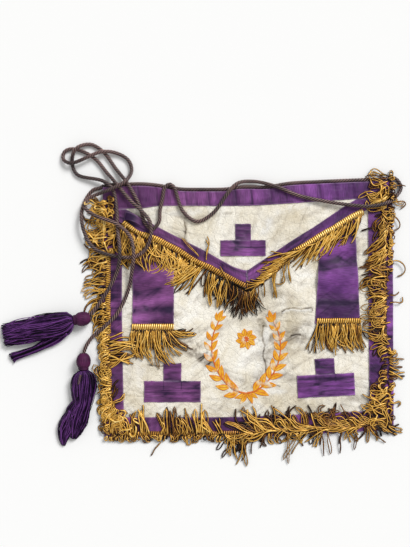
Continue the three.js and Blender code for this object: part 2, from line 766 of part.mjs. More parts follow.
function addFreeCords() {
  addPiece("cord_right", tube(CORD_RIGHT_ROUTE, CORD_RADIUS, CORD_RIGHT_ROUTE.length - 1), cordThread);
  addPiece("cord_left", tube(CORD_LEFT_ROUTE, CORD_RADIUS, CORD_LEFT_ROUTE.length - 1), cordThread);
  clearances.push(cordRoom(CORD_RIGHT_ROUTE.slice(0, 3)));
}

// Fringe as the outer form of its mass: five columns across, from its seam side to its loops' ends.
// Rises are over the seat at the seam, the sewn head and the edge; heights are over the surface beyond it.
const SEAM_RISE = 1.2;
const HEAD_RISE = 2.6;
const EDGE_RISE = 2.2;
const PAST_EDGE = 1.8;
const OVER_SURFACE = { middle: 5.6, end: 4.2 };
const OVER_BODY = { middle: 6.0, end: 4.4 };
const OVER_BODY_THIN = { middle: 4.8, end: 3.4 };
function fringe(name, rows, alongY, edge, beyond) {
  const grid = rows.map((row) => {
    const outwards = Math.sign(row.outer - row.inner);
    const past = edge ? edge(row.at) + outwards * PAST_EDGE : (row.inner + row.outer) / 2;
    const across = [row.inner, (row.inner + past) / 2, past, (past + row.outer) / 2, row.outer];
    const highs = [
      row.seat + SEAM_RISE,
      row.seat + HEAD_RISE,
      row.seat + EDGE_RISE,
      edge ? beyond.middle : row.seat + HEAD_RISE,
      edge ? beyond.end : row.seat + SEAM_RISE,
    ];
    return across.map((value, j) => {
      const [x, y] = alongY ? [value, row.at] : [row.at, value];
      return { x, y, low: 0, high: highs[j] + lift(x, y) };
    });
  });
  const mass = toSolid(gridSolid(grid));
  addPiece(name, toGeometry(mass.subtract(wasm.Manifold.union(clearances))), fringeThread);
}

function addFringes() {
  const tabEnd = (tab) => () => tab.low[0][1];
  fringe("fringe_left", FRINGE_LEFT, true, leftEdge, OVER_SURFACE);
  fringe("fringe_right", FRINGE_RIGHT, true);
  fringe("fringe_bottom", FRINGE_BOTTOM, false, bottomEdge, OVER_SURFACE);
  fringe("flap_fringe_left", FLAP_FRINGE_LEFT, false, flapEdge, OVER_BODY);
  fringe("flap_fringe_right", FLAP_FRINGE_RIGHT, false, flapEdge, OVER_BODY);
  fringe("tab_fringe_left", TAB_FRINGE_LEFT, false, tabEnd(TABS[0]), OVER_BODY_THIN);
  fringe("tab_fringe_right", TAB_FRINGE_RIGHT, false, tabEnd(TABS[1]), OVER_BODY_THIN);
}

// A tassel: a barrel-shaped wound head bored for the cord, and a flattened skirt with a socket for its end
function addTassel(tassel, route) {
  const cordEnd = route.slice(-BORE_POINTS).map((p) => new THREE.Vector3(...p));
  const overshoot = cordEnd.at(-1).clone().sub(cordEnd.at(-2)).setLength(2 * GAP);
  cordEnd.at(-1).add(overshoot);
  const bore = cordEnd.map((p) => p.toArray());
  const room = toSolid(tube(bore, CORD_RADIUS + GAP, BORE_POINTS - 1));
  const profile = [
    new THREE.Vector2(0, -HEAD_LENGTH / 2),
    new THREE.Vector2(HEAD_END_RADIUS, -HEAD_LENGTH / 2),
    new THREE.Vector2(HEAD_SHOULDER.radius, -HEAD_SHOULDER.fromMiddle),
    new THREE.Vector2(HEAD_RADIUS, 0),
    new THREE.Vector2(HEAD_SHOULDER.radius, HEAD_SHOULDER.fromMiddle),
    new THREE.Vector2(HEAD_END_RADIUS + 1, HEAD_LENGTH / 2),
    new THREE.Vector2(0, HEAD_LENGTH / 2),
  ];
  const head = new THREE.LatheGeometry(profile, 16);
  head.rotateZ(-Math.PI / 2);
  head.rotateZ(THREE.MathUtils.degToRad(tassel.turn));
  head.translate(tassel.head[0], tassel.head[1], HEAD_RADIUS + REST_Z);
  addPiece(`${tassel.name}_tassel_head`, toGeometry(toSolid(head).subtract(room)), tasselThread);

  const mass = toSolid(skirtForm(tassel.sections)).add(toSolid(skirtForm(tassel.lock)));
  const skirt = mass.subtract(room);
  addPiece(`${tassel.name}_tassel_skirt`, toGeometry(skirt), tasselThread);
}

// The skirt's form: oval sections that rest on the surface, along its centre line, closed at both ends
const SKIRT_SIDES = 14;
function skirtForm(sections) {
  const positions = [];
  sections.forEach((section, i) => {
    const a = sections[Math.max(i - 1, 0)];
    const b = sections[Math.min(i + 1, sections.length - 1)];
    const side = new THREE.Vector2(-(b.y - a.y), b.x - a.x).normalize();
    const centreZ = section.z ?? section.high + REST_Z;
    for (let k = 0; k < SKIRT_SIDES; k += 1) {
      const angle = (2 * Math.PI * k) / SKIRT_SIDES;
      const out = section.wide * Math.cos(angle);
      const up = section.high * Math.sin(angle);
      positions.push(section.x + side.x * out, section.y + side.y * out, centreZ + up);
    }
  });
  const first = sections[0];
  const last = sections[sections.length - 1];
  const firstZ = first.z ?? first.high + REST_Z;
  positions.push(first.x, first.y, firstZ, last.x, last.y, last.high + REST_Z);
  const firstCentre = sections.length * SKIRT_SIDES;
  const index = [];
  for (let k = 0; k < SKIRT_SIDES; k += 1) {
    const next = (k + 1) % SKIRT_SIDES;
    for (let i = 0; i < sections.length - 1; i += 1) {
      const row = i * SKIRT_SIDES;
      const after = row + SKIRT_SIDES;
      index.push(row + k, row + next, after + next, row + k, after + next, after + k);
    }
    const lastRow = (sections.length - 1) * SKIRT_SIDES;
    index.push(firstCentre, next, k, firstCentre + 1, lastRow + k, lastRow + next);
  }
  return indexed(positions, index);
}

addLeather();
addBorders();
addFlapRibbons();
addOrnaments();
addTabs();
addEdgeCord();
addFreeCords();
addFringes();
addTassel(UPPER_TASSEL, CORD_RIGHT_ROUTE);
addTassel(LOWER_TASSEL, CORD_LEFT_ROUTE);

// The origin is under the middle of the apron with its fringes, without the free ends and tassels
const FREE_PIECES = /^(cord_left|cord_right|upper_tassel|lower_tassel)/;
const extent = new THREE.Box3();
for (const mesh of apron.children) {
  if (!FREE_PIECES.test(mesh.name)) extent.expandByObject(mesh);
}
const middle = extent.getCenter(new THREE.Vector3());
apron.position.set(-middle.x, -middle.y, 0);

export default apron;
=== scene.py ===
# A ceremonial apron of pale leather with purple ribbon, gold looped fringe and a tasselled cord, lying flat.
# Plan places are in millimetres from the middle of the leather body, +y towards the waist edge, and one
# function turns them into metres in the model's frame.

import math

import bpy
import numpy as np
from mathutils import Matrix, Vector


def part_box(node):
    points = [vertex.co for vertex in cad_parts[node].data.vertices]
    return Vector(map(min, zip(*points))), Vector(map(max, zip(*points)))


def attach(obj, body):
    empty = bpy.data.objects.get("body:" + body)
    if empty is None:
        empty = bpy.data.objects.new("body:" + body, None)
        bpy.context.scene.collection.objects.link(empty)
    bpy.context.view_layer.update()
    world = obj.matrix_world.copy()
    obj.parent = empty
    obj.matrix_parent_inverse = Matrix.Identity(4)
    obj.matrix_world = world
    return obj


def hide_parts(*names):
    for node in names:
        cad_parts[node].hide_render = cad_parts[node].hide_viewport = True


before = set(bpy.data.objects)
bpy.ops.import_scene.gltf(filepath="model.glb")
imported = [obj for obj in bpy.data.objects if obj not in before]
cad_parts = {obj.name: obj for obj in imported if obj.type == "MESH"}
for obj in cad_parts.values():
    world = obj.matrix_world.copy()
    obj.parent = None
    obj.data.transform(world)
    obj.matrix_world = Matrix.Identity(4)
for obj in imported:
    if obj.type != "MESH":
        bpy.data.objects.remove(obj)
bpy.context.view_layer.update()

# How the plan is moved to lie in the frame: the flap ornament's bar starts at this place of the plan
BAR_CORNER = np.array([-38.0, 74.0])
PLAN_SHIFT = np.array(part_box("flap_ornament_bar")[0][:2]) * 1000 - BAR_CORNER
MM = 0.001

# Layers, from the surface up, as built: body, lower ribbon, flap, upper ribbon
BODY_TOP = 1.5
LOWER_LOW, LOWER_TOP = 1.8, 2.8
FLAP_LOW, FLAP_TOP = 3.1, 4.3
UPPER_LOW, UPPER_TOP = 4.6, 5.6

# The width of a border's turned-down lip, how far from the outline the layers inside it end, and the gap
# between pieces that lie side by side
LIP = 1.0
INSIDE_LIP = 1.65
GAP = 0.3

# Widths of the ribbon
LEFT_BORDER = 28
RIGHT_BORDER = 34
BOTTOM_BORDER = 28

# Edges, as (place, value) rows
TOP_EDGE = [
    (-202, 170), (-166, 171.5), (-141, 171.5), (-110, 167.5), (-93, 164.5), (-62, 164), (-30, 164.5),
    (-10, 167.5), (27, 167.5), (58, 172.5), (103, 175), (149, 177), (202, 179),
]
BOTTOM_EDGE = [(-200, -179), (-10, -178.5), (156, -171), (204, -169.5)]
LEFT_EDGE = [(-180, -200), (0, -203.5), (170, -202)]
RIGHT_EDGE = [(-170, 204), (40, 203), (179, 202)]
BAND_LOWER = [
    (-202, 139), (-146, 141), (-123, 143.8), (0, 144.2), (60, 147.5), (149, 153.4), (202, 155.5),
]
FLAP_TIP_X = -1
FLAP_LEFT = [
    (-202, 134), (-170, 117), (-158, 109), (-129.5, 94.5), (-101.5, 82), (-70, 64.5), (-41, 49.5),
    (-1, 29.5),
]
FLAP_RIGHT = [
    (-1, 29.5), (9, 32.5), (24, 42), (38, 53), (52, 66), (66, 78), (96, 97.5), (122, 112), (143.5, 126),
    (165, 138), (180, 147), (202, 157),
]
FLAP_RIBBON_INNER = [
    (-202, 157), (-160, 134), (-123, 113.5), (-83, 93), (-65, 84), (-31, 65), (-17, 58), (-1, 54.5),
    (9, 60.5), (35.5, 78), (63, 96.5), (95, 116.5), (130.5, 140.5), (145.5, 150), (180, 168),
]

# Broad swells of the leather: x, y, turn in degrees, reach along, reach across, rise
SWELLS = [
    (85, 0, 4, 110, 52, 2.2), (-95, -55, 80, 95, 55, 1.8), (30, 122, 0, 130, 60, 1.1),
    (120, -115, 10, 90, 60, 1.5),
]

# The lattice under all smooth noise: its corners each way, and where the plan's middle lies on it
LATTICE = 64
LATTICE_SHIFT = (31.7, 17.3)

# The cord: its radius, the plies twisted into it, and how far along it one turn of a ply goes
CORD_RADIUS = 2.5
CORD_PLIES = 4
CORD_TURN = 17.0

# The stretch along the waist edge: its height, how far outside the edge it runs, its ends, and the places
# at which the edge is read for it
EDGE_CORD_Z = 2.8
EDGE_CORD_OUT = 3.0
EDGE_CORD_ENDS = (-200, 194)
EDGE_CORD_PLACES = 60

# Steps along a cord, every how many of them a place of its path is stated, and its least height
CORD_STEP = 1.0
FLOOR_GAP = 0.03

# Routes of the cord's two free ends, as built, each led on to the sewn stretch at one end
CORD_RIGHT_ROUTE = [
    (194.5, 182.0, 2.85), (198, 184.5, 2.9), (208, 181, 3.0), (214, 170, 3.2), (206, 157, 8.8),
    (195, 149, 11.4), (169, 143, 12.0), (74, 157, 8.9), (38, 171, 8.9), (6, 178, 5.6), (-16, 174, 8.9),
    (-49, 133, 8.8), (-71, 122, 7.4), (-90, 136, 8.3), (-98.5, 158, 8.7), (-102, 169, 8.8),
    (-109, 173.5, 8.9), (-115.5, 168.5, 8.8), (-118, 156, 8.7), (-122, 137, 8.2), (-123.5, 121, 8.5),
    (-133, 111.5, 8.8), (-143, 120.5, 8.6), (-151, 145, 8.7), (-166, 173, 8.8), (-184, 196, 2.9),
    (-202, 220, 2.9), (-220, 230, 2.9), (-239, 223, 8.3), (-245, 204, 2.9), (-238, 188, 2.9),
    (-201, 178, 8.2), (-188, 167, 8.9), (-182, 139, 9.6), (-181, 113, 10.0), (-177, 77, 16.5),
    (-183, 48, 9.9), (-220, -8, 9.4), (-234, -14, 9.4), (-256, -17.3, 9.4),
]
CORD_LEFT_ROUTE = [
    (-200.5, 172.5, 2.85), (-206, 169, 2.9), (-216, 166, 2.9), (-228, 148, 4.0), (-231, 127, 9.6),
    (-225, 102, 9.8), (-211, 83, 9.8), (-163, 72, 11.4), (-144, 81, 11.4), (-134, 104, 13.8),
    (-136, 122, 14.6), (-147, 136, 14.6), (-162, 150, 11.4), (-184, 176, 8.9), (-197, 191, 3.4),
    (-212, 209, 2.9), (-230, 220, 2.9), (-247, 223.5, 2.9), (-256, 219, 3.0), (-257, 209, 4.4),
    (-246, 203, 8.4), (-202, 219, 8.4), (-181, 217, 3.6), (-166, 207, 2.9), (-162, 193, 4.2),
    (-170, 177, 14.3), (-188, 167, 14.4), (-222, 152.5, 10.0), (-226, 142, 12.8), (-212, 130, 11.6),
    (-181, 118, 15.6), (-164, 102, 12.0), (-158, 80, 17.4), (-161, 51, 11.0), (-167, 25, 4.7),
    (-181, -5, 6.2), (-201, -26, 9.8), (-218, -41, 9.6), (-227, -58, 9.4), (-228, -74, 9.4),
    (-228.3, -99, 9.4),
]


def read_table(rows, at):
    """Value of a short table at each place: a smooth cubic through its rows, level past its ends."""
    place, value = np.array(rows, float).T
    slope = np.gradient(value, place)
    slope[1:-1] = (value[2:] - value[:-2]) / (place[2:] - place[:-2])
    at = np.asarray(at, float)
    i = np.clip(np.searchsorted(place, at, side="right") - 1, 0, len(place) - 2)
    span = place[i + 1] - place[i]
    t = np.clip((at - place[i]) / span, 0, 1)
    ease = t * t * (3 - 2 * t)
    leaving = slope[i] * span * t * (1 - t) ** 2
    arriving = slope[i + 1] * span * t * t * (t - 1)
    return value[i] * (1 - ease) + value[i + 1] * ease + leaving + arriving


def top_edge(x):
    return read_table(TOP_EDGE, x)


def bottom_edge(x):
    return read_table(BOTTOM_EDGE, x)


def left_edge(y):
    return read_table(LEFT_EDGE, y)


def right_edge(y):
    return read_table(RIGHT_EDGE, y)


def band_lower(x):
    return read_table(BAND_LOWER, x)


def flap_edge(x):
    return np.where(np.asarray(x) < FLAP_TIP_X, read_table(FLAP_LEFT, x), read_table(FLAP_RIGHT, x))


def smooth(t):
    """Eases from 0 at 0 to 1 at 1, level at both ends."""
    t = np.clip(t, 0, 1)
    return t * t * (3 - 2 * t)


def bell(offset, width):
    """1 where the offset is nothing, falling smoothly to about nothing two widths away."""
    return np.exp(-((offset / width) ** 2))


def turning(degrees):
    """The cosine and the sine of an angle in degrees."""
    return math.cos(math.radians(degrees)), math.sin(math.radians(degrees))


def on_axes(x, y, cx, cy, turn):
    """How far along and across each place lies from a middle, on axes turned by some degrees."""
    c, s = turning(turn)
    return (x - cx) * c + (y - cy) * s, (y - cy) * c - (x - cx) * s


def noise(x, y, size, seed):
    """Smooth noise from 0 to 1: a random value at each corner of a square lattice, eased between corners."""
    values = np.random.default_rng(seed).random((LATTICE, LATTICE))
    u = np.asarray(x, float) / size + LATTICE_SHIFT[0]
    v = np.asarray(y, float) / size + LATTICE_SHIFT[1]
    i = np.floor(u).astype(int)
    j = np.floor(v).astype(int)
    f = smooth(u - i)
    g = smooth(v - j)
    i, after_i = i % LATTICE, (i + 1) % LATTICE
    j, after_j = j % LATTICE, (j + 1) % LATTICE
    low = values[i, j] * (1 - f) + values[after_i, j] * f
    high = values[i, after_j] * (1 - f) + values[after_i, after_j] * f
    return low * (1 - g) + high * g


def soft_patches(x, y, size, seed, start):
    """Soft patches from 0 to 1: three times smooth noise, less start, eased."""
    return smooth(3 * noise(x, y, size, seed) - start)


def ridges(x, y, size, seed):
    """Narrow creases from 0 to 1 along the lines where smooth noise passes through its middle."""
    return (1 - np.abs(2 * noise(x, y, size, seed) - 1)) ** 6


def lift(x, y):
    """How far the swells raise the leather: rise times the square of (1 - along^2)(1 - across^2) for each."""
    height = 0.0
    for cx, cy, turn, reach_along, reach_across, rise in SWELLS:
        along, across = on_axes(x, y, cx, cy, turn)
        fade_along = np.maximum(0, 1 - (along / reach_along) ** 2)
        fade_across = np.maximum(0, 1 - (across / reach_across) ** 2)
        height = height + rise * (fade_along * fade_across) ** 2
    return height


def relief(x, y):
    """Wrinkles shared by every layer: broad soft waves and finer creases, never below nothing."""
    waves = 1.1 * noise(x, y, 46, 11) ** 2
    creases = 0.35 * ridges(x, y * 1.6, 34, 12) + 0.2 * ridges(x * 0.7, y, 15, 13)
    return waves + creases


def raised(x, y):
    return lift(x, y) + relief(x, y)


def linear(code):
    """An sRGB hex colour as linear red, green, blue and alpha."""
    s = np.array([int(code[i : i + 2], 16) for i in (1, 3, 5)]) / 255
    rgb = np.where(s <= 0.04045, s / 12.92, ((s + 0.055) / 1.055) ** 2.4)
    return (*rgb.tolist(), 1.0)


def add(tree, kind, inputs=None, stops=(), **settings):
    """Adds a node with its settings, and fills or links its inputs: a (node, output) pair is a link.

    stops are a colour ramp's positions and sRGB hex colours.
    """
    made = tree.nodes.new(kind)
    for key, value in settings.items():
        setattr(made, key, value)
    for _ in stops[2:]:
        made.color_ramp.elements.new(0.5)
    for index, (position, code) in enumerate(stops):
        made.color_ramp.elements[index].position = position
        made.color_ramp.elements[index].color = linear(code)
    for key, value in (inputs or {}).items():
        socket = made.inputs[key]
        if isinstance(value, tuple) and isinstance(value[0], bpy.types.Node):
            tree.links.new(value[0].outputs[value[1]], socket)
        else:
            socket.default_value = value
    return made


def new_material(name):
    material = bpy.data.materials.new(name)
    material.use_nodes = True
    tree = material.node_tree
    tree.nodes.clear()
    surface = add(tree, "ShaderNodeBsdfPrincipled")
    add(tree, "ShaderNodeOutputMaterial", {"Surface": (surface, "BSDF")})
    return material, tree, surface


def mesh_piece(name, points, faces, material, attributes, uv=None, sharp=None):
    """A piece from plan millimetres, set at its place in the frame.

    faces are arrays of triangles or quads, and uv is in millimetres.
    """
    points = np.asarray(points, float).reshape(-1, 3).copy()
    points[:, :2] += PLAN_SHIFT
    points *= MM
    mesh = bpy.data.meshes.new(name)
    mesh.vertices.add(len(points))
    mesh.vertices.foreach_set("co", points.ravel())
    corners = np.concatenate([f.ravel() for f in faces])
    sizes = np.concatenate([np.full(len(f), f.shape[1]) for f in faces])
    starts = np.concatenate([[0], np.cumsum(sizes)[:-1]])
    mesh.loops.add(len(corners))
    mesh.loops.foreach_set("vertex_index", corners.astype(np.int32))
    mesh.polygons.add(len(sizes))
    mesh.polygons.foreach_set("loop_start", starts.astype(np.int32))
    mesh.update(calc_edges=True)
    if mesh.validate():
        print("mended", name)
    mesh.shade_smooth()
    if sharp:
        mesh.set_sharp_from_angle(angle=math.radians(sharp))
    if uv is not None:
        layer = mesh.uv_layers.new(name="plan")
        layer.data.foreach_set("uv", np.asarray(uv, float)[corners].ravel() * MM)
    for key, values in attributes.items():
        layer = mesh.attributes.new(key, "FLOAT", "POINT")
        layer.data.foreach_set("value", np.asarray(values, float).ravel())
    mesh.materials.append(material)
    piece = bpy.data.objects.new(name, mesh)
    bpy.context.scene.collection.objects.link(piece)
    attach(piece, "root")
    return piece


def grid_quads(rows, columns):
    """The quads of a grid of points numbered row by row."""
    i, j = np.meshgrid(np.arange(rows - 1), np.arange(columns - 1), indexing="ij")
    a = (i * columns + j).ravel()
    return np.stack([a, a + 1, a + columns + 1, a + columns], axis=1)


def rim_loop(rows, columns):
    """The boundary of a grid of points, once round, counter-clockwise where x grows along a row."""
    front = np.arange(columns - 1)
    right = np.arange(rows - 1) * columns + columns - 1
    back = (rows - 1) * columns + np.arange(columns - 1, 0, -1)
    left = np.arange(rows - 1, 0, -1) * columns
    return np.concatenate([front, right, back, left])


def closed_sheet(x, y, low, high, coarse=1):
    """A closed sheet over a grid: its upper side, a coarser under side, and a wall round the rim.

    Each wall panel joins one edge of the under side to as many edges of the upper side as it spans.
    """
    if (x[0, 1] - x[0, 0]) * (y[1, 0] - y[0, 0]) - (y[0, 1] - y[0, 0]) * (x[1, 0] - x[0, 0]) < 0:
        x, y, low, high = x[:, ::-1], y[:, ::-1], low[:, ::-1], high[:, ::-1]
    rows, columns = x.shape
    upper = np.stack([x, y, high], axis=-1).reshape(-1, 3)
    under = np.stack([x, y, low], axis=-1)[::coarse, ::coarse]
    under_rows, under_columns = under.shape[:2]
    top_faces = grid_quads(rows, columns)
    under_faces = grid_quads(under_rows, under_columns)[:, ::-1] + len(upper)
    top_loop = rim_loop(rows, columns)
    under_loop = rim_loop(under_rows, under_columns) + len(upper)
    panels = len(under_loop)
    a = under_loop
    b = np.roll(under_loop, -1)
    half = coarse // 2
    walls = []
    for step in range(coarse):
        near = top_loop[np.arange(panels) * coarse + step]
        after = top_loop[(np.arange(panels) * coarse + step + 1) % len(top_loop)]
        foot = a if step < max(half, 1) else b
        walls.append(np.stack([foot, after, near], axis=1))
    middle = top_loop[(np.arange(panels) * coarse + max(half, 1)) % len(top_loop)]
    walls.append(np.stack([a, b, middle], axis=1))
    points = np.concatenate([upper, under.reshape(-1, 3)])
    return points, [top_faces, under_faces, *walls]


def both_sides(values):
    """A sheet's values for its upper side, and the same again for its under side."""
    return np.concatenate([values.ravel(), values.ravel()])


def edge_distance(x, y):
    """How far each grid point is from the sheet's border, measured along its row and its column."""
    across = np.hypot(np.diff(x, axis=1), np.diff(y, axis=1)).cumsum(axis=1)
    across = np.pad(across, ((0, 0), (1, 0)))
    along = np.hypot(np.diff(x, axis=0), np.diff(y, axis=0)).cumsum(axis=0)
    along = np.pad(along, ((1, 0), (0, 0)))
    from_sides = np.minimum(across, across[:, -1:] - across)
    from_ends = np.minimum(along, along[-1:, :] - along)
    return np.minimum(from_sides, from_ends), across, along


def aim_camera():
    """Straight down over the middle of the picture, at the height from which it shows 574 by 766 mm."""
    lens = 50
    sensor = 36
    frame_height = 766
    middle = np.array([-59.5, 49.7])
    aim = (middle + PLAN_SHIFT) * MM
    data = bpy.data.cameras.new("camera")
    data.lens = lens
    data.sensor_width = sensor
    data.clip_end = 10
    camera = bpy.data.objects.new("camera", data)
    camera.location = (aim[0], aim[1], frame_height * lens / sensor * MM)
    bpy.context.scene.collection.objects.link(camera)
    bpy.context.scene.camera = camera


def light_studio():
    """A pale floor, a broad soft light from the upper right, and even light from all round."""
    scene = bpy.context.scene
    scene.view_settings.view_transform = "Standard"
    world = bpy.data.worlds.new("studio")
    world.use_nodes = True
    world.node_tree.nodes["Background"].inputs["Color"].default_value = (1, 1, 1, 1)
    world.node_tree.nodes["Background"].inputs["Strength"].default_value = 0.5
    scene.world = world

    data = bpy.data.lights.new("soft_light", "SUN")
    data.angle = math.radians(24)
    data.energy = 2.5
    light = bpy.data.objects.new("soft_light", data)
    light.rotation_euler = (math.radians(-50), 0, math.radians(-42))
    scene.collection.objects.link(light)

    # Matt white card, plain
    material, _, surface = new_material("white_card_matt")
    surface.inputs["Base Color"].default_value = linear("#FBFBFA")
    surface.inputs["Roughness"].default_value = 0.95
    surface.inputs["Specular IOR Level"].default_value = 0.1
    reach = 3.0
    mesh = bpy.data.meshes.new("floor")
    corners = [(-reach, -reach, 0), (reach, -reach, 0), (reach, reach, 0), (-reach, reach, 0)]
    mesh.from_pydata(corners, [], [(0, 1, 2, 3)])
    mesh.materials.append(material)
    floor = bpy.data.objects.new("floor", mesh)
    scene.collection.objects.link(floor)


def smooth_route(points, step):
    """A centripetal Catmull-Rom curve through the points, read off at even steps along it."""
    places = 40
    p = np.array(points, float)
    p = np.concatenate([[2 * p[0] - p[1]], p, [2 * p[-1] - p[-2]]])
    knots = np.concatenate([[0], np.cumsum(np.sqrt(np.linalg.norm(np.diff(p, axis=0), axis=1)))])
    spans = []
    for i in range(1, len(p) - 2):
        t = np.linspace(knots[i], knots[i + 1], places, endpoint=i == len(p) - 3)[:, None]
        k = knots[i - 1 : i + 3]
        a1 = ((k[1] - t) * p[i - 1] + (t - k[0]) * p[i]) / (k[1] - k[0])
        a2 = ((k[2] - t) * p[i] + (t - k[1]) * p[i + 1]) / (k[2] - k[1])
        a3 = ((k[3] - t) * p[i + 1] + (t - k[2]) * p[i + 2]) / (k[3] - k[2])
        b1 = ((k[2] - t) * a1 + (t - k[0]) * a2) / (k[2] - k[0])
        b2 = ((k[3] - t) * a2 + (t - k[1]) * a3) / (k[3] - k[1])
        spans.append(((k[2] - t) * b1 + (t - k[1]) * b2) / (k[2] - k[1]))
    line = np.concatenate(spans)
    along = np.concatenate([[0], np.cumsum(np.linalg.norm(np.diff(line, axis=0), axis=1))])
    at = np.linspace(0, along[-1], int(round(along[-1] / step)) + 1)
    return np.stack([np.interp(at, along, line[:, k]) for k in range(3)], axis=1), at


def tube_faces(count, rings, sides):
    """Faces of a number of tubes, each of rings of points numbered one after another, with closed ends."""
    i, j = np.meshgrid(np.arange(rings - 1), np.arange(sides), indexing="ij")
    a = (i * sides + j).ravel()
    b = (i * sides + (j + 1) % sides).ravel()
    quads = np.stack([a, b, b + sides, a + sides], axis=1)
    k = np.arange(1, sides - 1)
    start = np.stack([np.zeros_like(k), k + 1, k], axis=1)
    end = np.stack([np.zeros_like(k), k, k + 1], axis=1) + (rings - 1) * sides
    caps = np.concatenate([start, end])
    shift = (np.arange(count) * rings * sides)[:, None, None]
    return (quads[None] + shift).reshape(-1, 4), (caps[None] + shift).reshape(-1, 3)


def tubes(paths, radius, sides):
    """Tubes about paths (count, rings, 3): each ring stands across the path, its side level with the plan.

    radius is one number, or one for each ring, or one for each ring and angle.
    """
    count, rings, _ = paths.shape
    tangent = np.gradient(paths, axis=1)
    tangent /= np.linalg.norm(tangent, axis=2, keepdims=True) + 1e-9
    side = np.stack([tangent[..., 1], -tangent[..., 0], np.zeros((count, rings))], axis=-1)
    side /= np.linalg.norm(side, axis=2, keepdims=True) + 1e-9
    up = np.cross(side, tangent)
    angle = 2 * np.pi * np.arange(sides) / sides
    radius = np.asarray(radius, float)
    if radius.ndim < 3:
        radius = np.broadcast_to(radius, (count, rings))[..., None]
    across = radius * np.cos(angle)
    high = radius * np.sin(angle)
    points = paths[:, :, None] + side[:, :, None] * across[..., None] + up[:, :, None] * high[..., None]
    return points.reshape(-1, 3), tube_faces(count, rings, sides)


def cord_material():
    # Cord twisted from worn rayon plies: dull mauve-brown, with painted highlights where the plies stand out
    # and painted shade between them
    material, tree, surface = new_material("twisted_rayon_cord_worn")
    ply = add(tree, "ShaderNodeAttribute", attribute_name="ply")
    place = add(tree, "ShaderNodeTexCoord")
    patches = add(tree, "ShaderNodeTexNoise", {"Vector": (place, "Object"), "Scale": 28.0, "Detail": 3.0})
    fibres = add(tree, "ShaderNodeTexNoise", {"Vector": (place, "Object"), "Scale": 900.0, "Detail": 2.0})
    # Painted shade in the valleys between plies and painted highlight on their crowns
    crown = add(
        tree, "ShaderNodeValToRGB", {"Fac": (ply, "Fac")},
        stops=[(0.0, "#060303"), (0.45, "#1A0C0F"), (0.75, "#50343A"), (1.0, "#D2B2AA")],
    )
    worn = add(
        tree, "ShaderNodeValToRGB", {"Fac": (patches, "Fac")}, stops=[(0.35, "#6E5E62"), (0.65, "#F4E4DE")]
    )
    mixed = add(
        tree, "ShaderNodeMix", {"Factor": 0.85, "A": (crown, "Color"), "B": (worn, "Color")},
        data_type="RGBA", blend_type="MULTIPLY",
    )
    bump = add(tree, "ShaderNodeBump", {"Height": (fibres, "Fac"), "Strength": 0.35, "Distance": 0.0004})
    tree.links.new(mixed.outputs["Result"], surface.inputs["Base Color"])
    tree.links.new(bump.outputs["Normal"], surface.inputs["Normal"])
    surface.inputs["Roughness"].default_value = 0.52
    surface.inputs["Sheen Weight"].default_value = 0.08
    return material


def cord_mesh(name, line, at, material):
    """Plies twisted round the line: the section's radius falls into a valley between each two plies.

    The radius is CORD_RADIUS (0.7 + 0.38 |cos(plies / 2 (angle - turn))|).
    """
    sides = 16
    turned = 2 * np.pi * at / CORD_TURN
    angle = 2 * np.pi * np.arange(sides) / sides
    crown = np.abs(np.cos(CORD_PLIES / 2 * (angle[None] - turned[:, None])))
    section = CORD_RADIUS * (0.7 + 0.38 * crown)
    points, faces = tubes(line[None], section[None], sides)
    points[:, 2] = np.maximum(points[:, 2], FLOOR_GAP)
    return mesh_piece(name, points, faces, material, attributes={"ply": crown.ravel() ** 1.4})


def add_cords(material):
    x = np.linspace(*EDGE_CORD_ENDS, EDGE_CORD_PLACES)
    y = top_edge(x)
    edge = np.stack([x, y + EDGE_CORD_OUT, EDGE_CORD_Z + lift(x, y)], axis=1)
    lines = {"edge": smooth_route(edge, CORD_STEP)}
    lines["right"] = smooth_route(CORD_RIGHT_ROUTE, CORD_STEP)
    lines["left"] = smooth_route(CORD_LEFT_ROUTE, CORD_STEP)
    pieces = {key: cord_mesh(f"waist_cord_{key}", *lines[key], material) for key in lines}
    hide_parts("cord_edge")
    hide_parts("cord_right")
    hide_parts("cord_left")
    return lines, pieces


def declare_cord(piece, line, at, with_pieces):
    path = line.copy()
    path[:, :2] += PLAN_SHIFT
    path = path * MM


